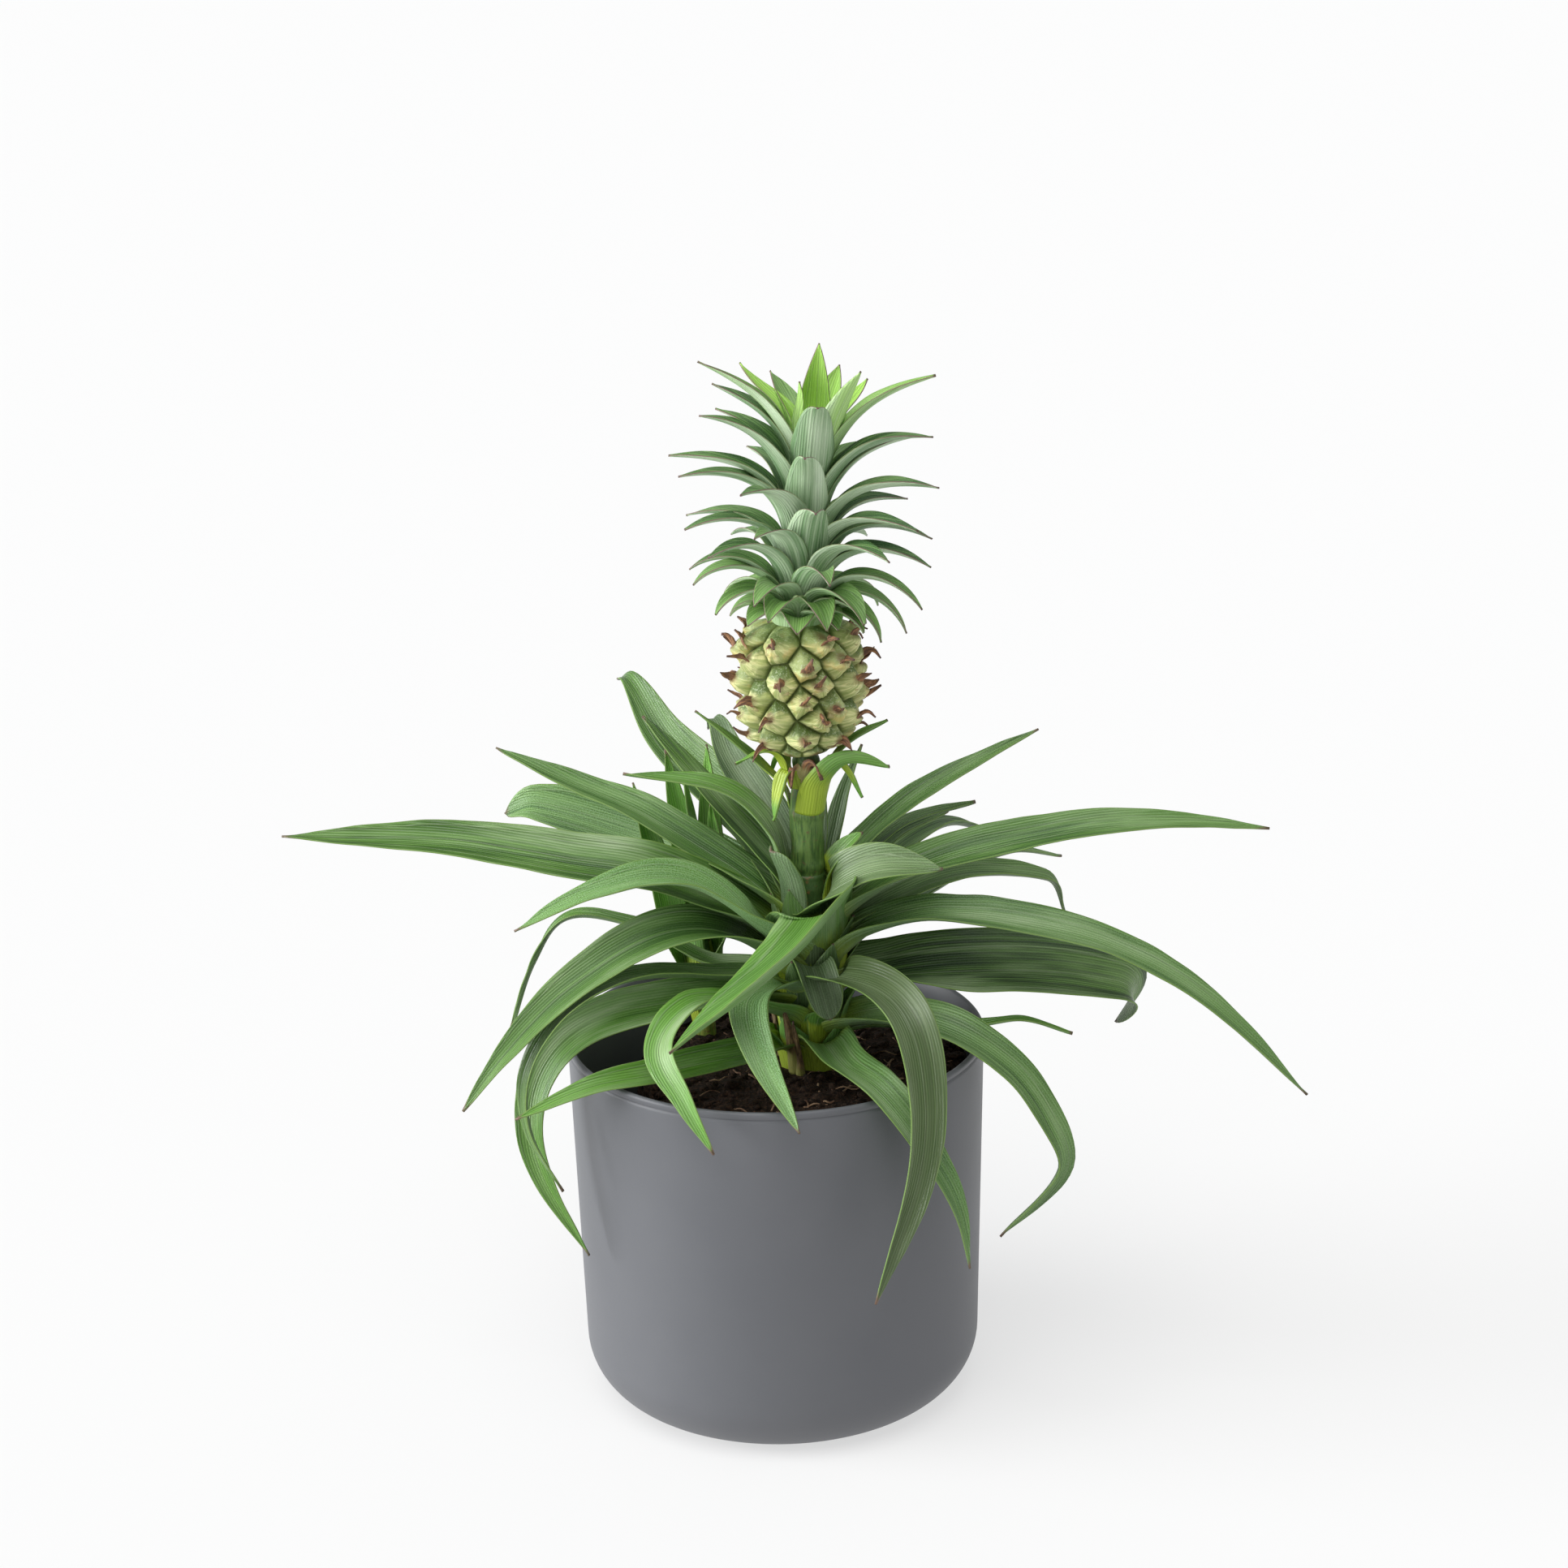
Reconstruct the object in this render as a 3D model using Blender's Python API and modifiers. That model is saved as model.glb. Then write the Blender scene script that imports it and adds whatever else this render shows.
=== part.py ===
"""A potted miniature pineapple plant, in metres, +Z up, with its origin at the centre of the pot's base.

The pot is a turned plastic shell. A root ball stands in it, and the stem grows out of the root ball with a
rosette of strap leaves, a side shoot, and a peduncle that carries the fruit and its crown of small leaves.
"""

import math
from collections import namedtuple

import bmesh
import bpy
from mathutils import Matrix, Vector
from mathutils.geometry import interpolate_bezier

MM = 0.001
GAP = 0.3 * MM  # clearance between two pieces that touch

# Pot: outer radius at the rim, how much the wall narrows on its way down, and the rounded foot.
POT_RIM_RADIUS = 70.0 * MM
POT_TAPER = 2.8 * MM
POT_HEIGHT = 127.5 * MM
POT_WALL = 3.0 * MM
POT_FLOOR = 4.0 * MM
POT_CORNER = 20.0 * MM
POT_LIP = 1.2 * MM
POT_SIDES = 40
CORNER_STEPS = 6

# Root ball: narrower than the pot, pushed over to one side of it.
SOIL_DEPTH = 10.5 * MM  # from the rim down to the top of the root ball
ROOT_BALL_OFFSET = 8.5 * MM
ROOT_BALL_CLEARANCE = 2.5 * MM  # to the pot's wall, on the side where it is nearest
ROOT_BALL_SHOULDER = 4.0 * MM
SOIL_LUMP = 2.6 * MM  # from the lowest hollow in the top to the highest lump

# Stem: where it stands on the pot's plan, and its size above the root ball.
PLANT_X = 12.0 * MM
PLANT_Y = -4.0 * MM
STEM_BURIED = 14.0 * MM
STEM_HEIGHT = 68.0 * MM
STEM_BASE_RADIUS = 8.5 * MM
STEM_TOP_RADIUS = 6.2 * MM

# Peduncle, fruit and crown: they follow on upwards from the stem.
PEDUNCLE_RADIUS = 5.0 * MM
PEDUNCLE_HEIGHT = 37.0 * MM
FRUIT_RADIUS = 22.0 * MM
FRUIT_HEIGHT = 49.0 * MM
FRUITLET_ROWS = 7
FRUITLETS_ROUND = 8
FRUITLET_SWELL = 3.0 * MM
FRUIT_OFFSET = -1.5 * MM  # the fruit sits a little to one side of the peduncle's axis
FRUIT_PLAIN_END = 0.2  # share of the radius at each end that has no fruitlets
CROWN_HEIGHT = 62.0 * MM
CROWN_RADIUS = 6.0 * MM
CROWN_TOP_RADIUS = 3.0 * MM
CROWN_LEAN = 5.5  # degrees that the crown leans towards +X
CROWN_WHORLS = 7
CROWN_WHORL_LEAVES = 6
CROWN_RING_WALL = 1.4 * MM
GOLDEN_ANGLE = 137.5

# Leaves.
LEAF_THICKNESS = 1.2 * MM
CROWN_LEAF_THICKNESS = 0.9 * MM
LEAF_FOLD = 18.0  # degrees that each half of the blade lifts from flat, which makes the channel
LEAF_BASE_SHARE = 0.30  # the blade's width where it leaves the stem, as a share of its full width
LEAF_TIP_WIDTH = 0.9 * MM
ROUTE_POINTS = 50  # points on a midrib's curve from one given point to the next

# The tables below are in millimetres and degrees. A leaf leaves the stem in the direction turn, measured
# round the stem from +X, at the height rise above the soil. Its midrib then runs through points given from
# the stem's axis at the level of the soil. width is the blade's at its widest, and roll turns its face about
# the midrib.
Leaf = namedtuple("Leaf", "turn rise width roll midrib")

# The sizes that the tables' numbers are for. When a size changes, the leaves reach and rise with it.
TABLE_RIM_RADIUS = 70.0
TABLE_RIM_RISE = 10.5
TABLE_STEM_HEIGHT = 68.0
TABLE_PEDUNCLE_HEIGHT = 37.0
TABLE_FRUIT_RADIUS = 22.0
TABLE_SHOOT_HEIGHT = 34.0

ROSETTE = [
    Leaf(175, 42, 23, -30, [(-46, -4, 67), (-81, -1, 74), (-121, 6, 79), (-174, 12, 80)]),
    Leaf(160, 53, 17, -25, [(-52, 21, 80), (-78, 30, 90), (-104, 38, 101)]),
    Leaf(223, 38, 17, -20, [(-18, -13, 54), (-41, -16, 71), (-67, -24, 71), (-95, -31, 61)]),
    Leaf(202, 33, 18, -15, [(-27, -10, 50), (-50, -20, 53), (-78, -32, 40), (-99, -41, 22), (-113, -46, 5)]),
    Leaf(200, 28, 13, 0, [
        (-34, -12, 36), (-60, -26, 41), (-80, -36, 33), (-92, -42, 15), (-92, -44, -4), (-82, -46, -24),
    ]),
    Leaf(197, 23, 17, -50, [
        (-56, -16, 27), (-79, -22, 20), (-91, -26, 3), (-91, -32, -19), (-75, -38, -51),
    ]),
    Leaf(228, 17, 16, 0, [(-20, -20, 28), (-37, -36, 36), (-48, -51, 27), (-41, -65, 15), (-32, -75, 1)]),
    Leaf(214, 7, 14, 0, [(-25, -19, 10), (-52, -38, 12.5), (-72, -46, 12), (-96, -51, 4)]),
    Leaf(240, 28, 16, 0, [(-13, -24, 36), (-20, -41, 37), (-17, -58, 27), (-5, -76, 8)]),
    Leaf(285, 42, 20, 25, [(3, -16, 56), (5, -27, 62), (-10, -48, 53), (-45, -71, 34)]),
    Leaf(264, 34, 12, 0, [(-1, -16, 39), (-1, -26, 40), (3, -33, 28)]),
    Leaf(300, 27, 17, 10, [(11, -31, 42), (29, -56, 40), (35, -68, 16), (32, -76, -10), (18, -80, -50)]),
    Leaf(290, 10, 16, 0, [(11, -41, 15), (21, -56, 13), (33, -62, -2), (44, -62, -23), (49, -60, -48)]),
    Leaf(335, 13, 19, 10, [(38, -21, 21), (63, -31, 9), (76, -36, -9), (80, -38, -24), (60, -41, -46)]),
    Leaf(3, 26, 22, 50, [(30, 5, 29), (67, 9, 29), (103, 14, 22), (109, 18, 16), (104, 24, 2)]),
    Leaf(352, 36, 18, 20, [(20, -3, 47), (44, -6, 53), (93, -14, 46), (128, -18, 27), (163, -21, -7)]),
    Leaf(1, 48, 18, 30, [(34, 2, 66), (83, 6, 77), (118, 8, 79), (153, 9, 76)]),
    Leaf(28, 42, 16, 20, [(43, 26, 54), (82, 46, 47), (89, 52, 31)]),
    Leaf(40, 34, 14, 0, [(40, 34, 47), (70, 62, 51), (90, 78, 43)]),
    Leaf(27, 57, 9, 10, [(15, 9, 66), (33, 20, 77), (57, 32, 80)]),
    Leaf(38, 52, 8, 10, [(28, 20, 71), (48, 34, 76)]),
    Leaf(20, 61, 12, 20, [(20, 8, 76), (38, 16, 88), (78, 29, 106)]),
    Leaf(79, 61, 8, 0, [(4, 11, 80), (5, 16, 99)]),
    Leaf(55, 58, 8, 0, [(12, 18, 87), (19, 29, 102)]),
    Leaf(176, 64, 12, -20, [(-13, 2, 81), (-27, 4, 95), (-60, 6, 101)]),
    Leaf(140, 61, 12, -10, [(-17, 11, 74), (-33, 19, 91), (-54, 31, 113)]),
    Leaf(122, 50, 19, 0, [(-16, 34, 71), (-47, 64, 94), (-60, 84, 110), (-65, 96, 107)]),
    Leaf(100, 56, 17, 0, [(-13, 23, 80), (-25, 38, 96), (-30, 50, 105), (-33, 58, 100)]),
    Leaf(125, 40, 22, -45, [(-20, 36, 50), (-46, 54, 59), (-93, 66, 71), (-105, 72, 66)]),
    Leaf(163, 30, 9, 0, [(-35, 10, 33), (-60, 20, 43), (-81, 25, 44), (-93, 29, 28), (-103, 34, 1)]),
    Leaf(356, 10, 7, 0, [(30, -2, 13), (56, -4, 13.5), (71, -4, 15), (87, -4, 10)]),
    Leaf(215, 52, 13, 0, [(-8, -8, 65), (-12, -12, 80)]),
    Leaf(320, 56, 17, 15, [(8, -13, 66), (22, -19, 75), (43, -26, 77)]),
    Leaf(0, 65, 10, 0, [(9, -1, 74), (15, -2, 81)]),
    Leaf(65, 28, 18, 0, [(16, 38, 44), (28, 74, 40), (36, 100, 14)]),
    Leaf(95, 24, 18, 0, [(-4, 38, 38), (-8, 75, 32), (-12, 100, 6)]),
    Leaf(48, 44, 16, 0, [(26, 28, 60), (46, 48, 66), (66, 70, 56)]),
    Leaf(115, 16, 17, 0, [(-13, 36, 27), (-32, 72, 23), (-46, 94, 0)]),
]

# Bracts on the peduncle.
BRACTS = [
    Leaf(300, 84, 9, 0, [(4, -7, 97), (12, -9, 107), (28, -8, 106)]),
    Leaf(205, 100, 6, 0, [(-9, -4, 97), (-12, -5, 86)]),
    Leaf(165, 96, 5, 0, [(-13, 4, 102), (-22, 6, 110), (-36, 9, 121)]),
]

# Side shoot: a short stem behind the main one. Its leaves' points are from its own axis.
SHOOT_FROM_STEM = (-36.0, 28.0)  # in the tables' millimetres
SHOOT_RADIUS = 3.6 * MM
SHOOT_HEIGHT = 34.0 * MM
SHOOT_BURIED = 8.0 * MM
SHOOT = [
    Leaf(180, 14, 8, 0, [(-12, 1, 50), (-22, 2, 90)]),
    Leaf(120, 19, 8, 0, [(-5, 7, 60), (-11, 10, 99)]),
    Leaf(350, 24, 8, 0, [(7, -3, 55), (4, -6, 85)]),
    Leaf(215, 28, 8, 0, [(-3, 1, 60), (-5, 3, 93)]),
    Leaf(40, 31, 7, 0, [(4, 4, 62), (3, 5, 102)]),
]

SOIL_Z = POT_HEIGHT - SOIL_DEPTH
SPREAD = POT_RIM_RADIUS / MM / TABLE_RIM_RADIUS  # the leaves reach out with the pot that they hang over
BRACT_SPREAD = FRUIT_RADIUS / MM / TABLE_FRUIT_RADIUS  # and the bracts with the fruit above them
SHOOT_X = PLANT_X + SHOOT_FROM_STEM[0] * SPREAD * MM
SHOOT_Y = PLANT_Y + SHOOT_FROM_STEM[1] * SPREAD * MM
POT_FLAT_RADIUS = POT_RIM_RADIUS - POT_TAPER - POT_CORNER
ROOT_BALL_RADIUS = POT_RIM_RADIUS - POT_WALL - ROOT_BALL_OFFSET - ROOT_BALL_CLEARANCE


def clear_scene():
    for obj in list(bpy.data.objects):
        bpy.data.objects.remove(obj, do_unlink=True)


def collection(name):
    made = bpy.data.collections.new(name)
    bpy.context.scene.collection.children.link(made)
    return made


def material(name, colour, roughness, metallic=0.0):
    made = bpy.data.materials.new(name)
    made.use_nodes = True
    shader = made.node_tree.nodes["Principled BSDF"]
    shader.inputs["Base Color"].default_value = (*colour, 1.0)
    shader.inputs["Roughness"].default_value = roughness
    shader.inputs["Metallic"].default_value = metallic
    made.diffuse_color = (*colour, 1.0)
    return made


def add_mesh(name, bm, finish, into):
    """A new object that holds the bmesh, with its faces turned outwards."""
    bmesh.ops.recalc_face_normals(bm, faces=bm.faces)
    mesh = bpy.data.meshes.new(name)
    bm.to_mesh(mesh)
    bm.free()
    mesh.shade_smooth()
    mesh.set_sharp_from_angle(angle=math.radians(40))
    mesh.materials.append(finish)
    obj = bpy.data.objects.new(name, mesh)
    into.objects.link(obj)
    return obj


def turned(name, profile, finish, into, sides=POT_SIDES, ring=False):
    """A solid turned round +Z from (radius, height) points that run down its outer side, top to bottom.

    The profile starts and ends on the axis, or is a closed loop for a ring.
    """
    mesh = bpy.data.meshes.new(name)
    points = [(radius, 0.0, height) for radius, height in profile]
    edges = [(i, i + 1) for i in range(len(points) - 1)]
    if ring:
        edges.append((len(points) - 1, 0))
    mesh.from_pydata(points, edges, [])
    mesh.materials.append(finish)
    obj = bpy.data.objects.new(name, mesh)
    into.objects.link(obj)
    screw = obj.modifiers.new("Screw", "SCREW")
    screw.steps = sides
    screw.render_steps = sides
    screw.use_merge_vertices = True
    screw.merge_threshold = 0.0001
    screw.use_smooth_shade = True
    return obj


def cutter(obj, into):
    """Marks an object as one that only shapes others."""
    for home in list(obj.users_collection):
        home.objects.unlink(obj)
    into.objects.link(obj)
    obj.hide_render = True
    obj.display_type = "WIRE"
    return obj


def boolean(obj, other, operation):
    made = obj.modifiers.new(operation.title(), "BOOLEAN")
    made.operation = operation
    made.solver = "EXACT"
    made.use_self = operation == "UNION"
    made.object = other
    return made


def smooth(share):
    """0 up to 0, 1 from 1 on, with no corner in between."""
    share = min(max(share, 0.0), 1.0)
    return share * share * (3 - 2 * share)


def mix(start, end, share):
    return start + (end - start) * share


# Pot


def arc(centre, radius, start, end, steps):
    """(radius, height) points on a round corner, from one angle to another in degrees."""
    angles = [math.radians(mix(start, end, i / steps)) for i in range(steps + 1)]
    return [(centre[0] + radius * math.cos(a), centre[1] + radius * math.sin(a)) for a in angles]


def make_pot(finish, into):
    inner_corner = POT_CORNER - POT_WALL
    outer_centre = (POT_FLAT_RADIUS, POT_CORNER)
    inner_centre = (POT_FLAT_RADIUS, POT_FLOOR + inner_corner)
    lip = [
        (POT_RIM_RADIUS - POT_WALL, POT_HEIGHT - POT_LIP),
        (POT_RIM_RADIUS - POT_WALL + 0.3 * POT_LIP, POT_HEIGHT - 0.3 * POT_LIP),
        (POT_RIM_RADIUS - POT_WALL / 2, POT_HEIGHT),
        (POT_RIM_RADIUS - 0.3 * POT_LIP, POT_HEIGHT - 0.3 * POT_LIP),
        (POT_RIM_RADIUS, POT_HEIGHT - POT_LIP),
    ]
    inside = [(0.0, POT_FLOOR)] + arc(inner_centre, inner_corner, -90, 0, CORNER_STEPS)
    outside = arc(outer_centre, POT_CORNER, 0, -90, CORNER_STEPS) + [(0.0, 0.0)]
    return turned("pot", inside + lip + outside, finish, into)


# Root ball


def soil_hollow(x, y):
    """How far the uneven top lies below its highest lump."""
    broad = math.sin(0.23 * x / MM + 1.1) * math.cos(0.19 * y / MM)
    fine = 0.6 * math.sin((0.41 * y + 0.31 * x) / MM)
    return SOIL_LUMP * (1.6 - broad - fine) / 3.2


def make_root_ball(finish, into, cutters):
    """Its sides lean in like the pot's, and its top is uneven."""
    top = SOIL_Z
    bottom = POT_FLOOR + GAP
    foot = POT_FLAT_RADIUS - ROOT_BALL_OFFSET
    bm = bmesh.new()
    bmesh.ops.create_cone(
        bm,
        cap_ends=True,
        segments=40,
        radius1=foot,
        radius2=ROOT_BALL_RADIUS,
        depth=top - bottom,
    )
    bmesh.ops.translate(bm, vec=(ROOT_BALL_OFFSET, 0.0, (top + bottom) / 2), verts=bm.verts)
    cap = [face for face in bm.faces if face.normal.z > 0.9]
    for inset in (ROOT_BALL_SHOULDER, 0.25 * ROOT_BALL_RADIUS, 0.25 * ROOT_BALL_RADIUS):
        bmesh.ops.inset_region(bm, faces=cap, thickness=inset, use_even_offset=True)
    for vert in [v for v in bm.verts if v.co.z > top - GAP]:
        out = math.hypot(vert.co.x - ROOT_BALL_OFFSET, vert.co.y)
        vert.co.z -= soil_hollow(vert.co.x, vert.co.y)
        if out > ROOT_BALL_RADIUS - ROOT_BALL_SHOULDER / 2:
            vert.co.z -= ROOT_BALL_SHOULDER
    ball = add_mesh("root_ball", bm, finish, into)
    holes = (
        ("stem_hole", PLANT_X, PLANT_Y, STEM_BASE_RADIUS + GAP, STEM_BURIED + GAP),
        ("shoot_hole", SHOOT_X, SHOOT_Y, SHOOT_RADIUS + GAP, SHOOT_BURIED + GAP),
    )
    for name, x, y, radius, depth in holes:
        profile = [(0.0, SOIL_DEPTH), (radius, SOIL_DEPTH), (radius, -depth), (0.0, -depth)]
        hole = turned(name, profile, finish, into, 24)
        hole.location = (x, y, SOIL_Z)
        boolean(ball, cutter(hole, cutters), "DIFFERENCE")
    return ball


# Leaves


def smooth_route(points):
    """Closely spaced points on a smooth curve that runs through the given ones."""
    ends = [2 * points[0] - points[1]] + points + [2 * points[-1] - points[-2]]
    route = [points[0]]
    for before, start, end, after in zip(ends, ends[1:], ends[2:], ends[3:]):
        length = (end - start).length
        leave = (end - before).normalized() * length / 3
        arrive = (after - start).normalized() * length / 3
        curve = interpolate_bezier(start, start + leave, end - arrive, end, ROUTE_POINTS)
        route += curve[1:]
    return route


def even_points(route, steps):
    """Points at equal distances along a route."""
    reached = [0.0]
    for start, end in zip(route, route[1:]):
        reached.append(reached[-1] + (end - start).length)
    points = []
    for i in range(steps + 1):
        wanted = reached[-1] * i / steps
        after = next(k for k in range(1, len(reached)) if reached[k] >= wanted - 1e-9)
        share = (wanted - reached[after - 1]) / (reached[after] - reached[after - 1])
        points.append(route[after - 1].lerp(route[after], share))
    return points


def leaf_frames(leaf, midrib, steps):
    """The points along the midrib with the blade's side and upward directions at each."""
    points = even_points(smooth_route(midrib), steps)
    turn = math.radians(leaf.turn)
    side = Vector((-math.sin(turn), math.cos(turn), 0.0))
    frames = []
    for i, point in enumerate(points):
        along = (points[min(i + 1, steps)] - points[max(i - 1, 0)]).normalized()
        side = (side - along * side.dot(along)).normalized()
        up = along.cross(side)
        roll = math.radians(leaf.roll * smooth(2.5 * i / steps))
        frames.append((
            point,
            side * math.cos(roll) + up * math.sin(roll),
            up * math.cos(roll) - side * math.sin(roll),
        ))
    return frames


def blade_width(leaf, share):
    """Half the blade's width at a share of its length: narrow at the stem, full, then a long taper."""
    full = leaf.width * MM
    spread = mix(LEAF_BASE_SHARE, 1.0, smooth(share / 0.3))
    taper = (1 - share**2.6) ** 0.9
    return max(full * spread * taper, LEAF_TIP_WIDTH) / 2


def blade(leaf, midrib, steps):
    """A bmesh of the leaf's middle surface: a grid laid along the midrib and folded into a channel."""
    frames = leaf_frames(leaf, midrib, steps)
    bm = bmesh.new()
    bmesh.ops.create_grid(bm, x_segments=2, y_segments=steps, size=1.0)
    for vert in bm.verts:
        across = vert.co.x
        share = (vert.co.y + 1) / 2
        point, side, up = frames[round(share * steps)]
        half = blade_width(leaf, share)
        fold = math.radians(LEAF_FOLD * smooth(share / 0.2))
        out = side * math.cos(fold) * across + up * math.sin(fold) * abs(across)
        vert.co = point + half * out
    return bm


def thicken(obj, thickness):
    shell = obj.modifiers.new("Solidify", "SOLIDIFY")
    shell.thickness = thickness
    shell.offset = 0.0
    return shell


def plant_height(z):
    """The height above the soil for a table's height, which keeps its place by the rim, stem and stalk."""
    if z < TABLE_RIM_RISE:
        return SOIL_DEPTH + (z - TABLE_RIM_RISE) * MM
    if z < TABLE_STEM_HEIGHT:
        share = (z - TABLE_RIM_RISE) / (TABLE_STEM_HEIGHT - TABLE_RIM_RISE)
        return mix(SOIL_DEPTH, STEM_HEIGHT, share)
    return STEM_HEIGHT + PEDUNCLE_HEIGHT * (z - TABLE_STEM_HEIGHT) / TABLE_PEDUNCLE_HEIGHT


def shoot_height(z):
    """Where a leaf leaves the side shoot, as a share of the shoot's height."""
    return SHOOT_HEIGHT * z / TABLE_SHOOT_HEIGHT


def stem_radius(height):
    """The stem's radius, then the peduncle's, at a height above the soil."""
    if height > STEM_HEIGHT:
        return PEDUNCLE_RADIUS
    return mix(STEM_BASE_RADIUS, STEM_TOP_RADIUS, height / STEM_HEIGHT)


def shoot_radius(height):
    """The side shoot's radius: straight to half its height, then tapering."""
    return SHOOT_RADIUS * mix(1.0, 0.6, max(0.0, 2 * height / SHOOT_HEIGHT - 1))


def make_leaves(prefix, rows, place, spread, root_height, radius_at, finish, into, steps=10):
    """A midrib starts at the stem's surface, clear of it by the gap, and runs through the row's points."""
    soil = Vector((*place, SOIL_Z))
    for number, leaf in enumerate(rows, start=1):
        turn, rise = math.radians(leaf.turn), root_height(leaf.rise)
        out = radius_at(rise) + GAP + 0.5 * LEAF_THICKNESS
        midrib = [soil + Vector((out * math.cos(turn), out * math.sin(turn), rise))]
        for x, y, z in leaf.midrib:
            midrib.append(soil + Vector((x * spread * MM, y * spread * MM, plant_height(z))))
        obj = add_mesh(f"{prefix}_{number:02d}", blade(leaf, midrib, steps), finish, into)
        thicken(obj, LEAF_THICKNESS)


# Stem, peduncle and side shoot


def make_stems(finish, into):
    stem = turned(
        "stem",
        [
            (0.0, STEM_HEIGHT),
            (STEM_TOP_RADIUS, STEM_HEIGHT),
            (STEM_BASE_RADIUS, 0.0),
            (STEM_BASE_RADIUS, -STEM_BURIED),
            (0.0, -STEM_BURIED),
        ],
        finish,
        into,
        24,
    )
    stem.location = (PLANT_X, PLANT_Y, SOIL_Z)
    bottom = STEM_HEIGHT + GAP
    top = STEM_HEIGHT + PEDUNCLE_HEIGHT
    peduncle = turned(
        "peduncle",
        [
            (0.0, top),
            (0.8 * PEDUNCLE_RADIUS, top),
            (PEDUNCLE_RADIUS, top - 2 * PEDUNCLE_RADIUS),
            (PEDUNCLE_RADIUS, bottom),
            (0.0, bottom),
        ],
        finish,
        into,
        24,
    )
    peduncle.location = (PLANT_X, PLANT_Y, SOIL_Z)
    shoot = turned(
        "side_shoot_stem",
        [
            (0.0, SHOOT_HEIGHT),
            (0.6 * SHOOT_RADIUS, SHOOT_HEIGHT),
            (SHOOT_RADIUS, 0.5 * SHOOT_HEIGHT),
            (SHOOT_RADIUS, -SHOOT_BURIED),
            (0.0, -SHOOT_BURIED),
        ],
        finish,
        into,
        20,
    )
    shoot.location = (SHOOT_X, SHOOT_Y, SOIL_Z)


# Fruit


def fruit_outline(share):
    """The fruit's radius from its bottom, 0, to its top, 1: a barrel with rounded ends."""
    return FRUIT_RADIUS * (1 - abs(2 * share - 1) ** 2.6) ** 0.42


def make_fruit(finish, into, around=38, rows=18):
    """A closed barrel whose surface swells at each fruitlet, in rows staggered by half a fruitlet."""
    bm = bmesh.new()
    bmesh.ops.create_uvsphere(bm, u_segments=around, v_segments=rows, radius=1.0)
    for vert in bm.verts:
        out = math.hypot(vert.co.x, vert.co.y)
        share = 0.5 + math.atan2(vert.co.z, out) / math.pi
        turn = math.atan2(vert.co.y, vert.co.x)
        row = share * FRUITLET_ROWS
        stagger = math.pi * math.floor(row)
        radius = fruit_outline(share)
        if out > FRUIT_PLAIN_END:
            swell = abs(math.sin(math.pi * row)) * abs(math.cos((FRUITLETS_ROUND * turn + stagger) / 2))
            radius += FRUITLET_SWELL * (swell - 0.5)
        vert.co = (radius * math.cos(turn), radius * math.sin(turn), FRUIT_HEIGHT * share)
    fruit = add_mesh("fruit", bm, finish, into)
    fruit.location = (PLANT_X + FRUIT_OFFSET, PLANT_Y, SOIL_Z + STEM_HEIGHT + PEDUNCLE_HEIGHT + GAP)
    return fruit


# Crown


def crown_leaf(number, count, root):
    """One crown leaf: low ones are short and droop, high ones stand up."""
    share = number / (count - 1)
    turn = number * GOLDEN_ANGLE
    length = (mix(32, 54, smooth(2.2 * share)) - 24 * smooth(2 * share - 1)) * MM
    width = mix(10, 13, smooth(2 * share)) - 5 * smooth(3 * share - 2)
    lift = math.radians(mix(50, 70, share))
    tip = math.radians(mix(-72, 74, share))
    outward = Vector((math.cos(math.radians(turn)), math.sin(math.radians(turn)), 0.0))
    midrib = [root]
    for step in range(3):
        slope = mix(lift, tip, step / 2)
        along = outward * math.cos(slope) + Vector((0.0, 0.0, math.sin(slope)))
        midrib.append(midrib[-1] + along * length / 3)
    return Leaf(turn, share, width, 0, midrib)


def crown_radius(share):
    return mix(CROWN_RADIUS, CROWN_TOP_RADIUS, share)


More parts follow.
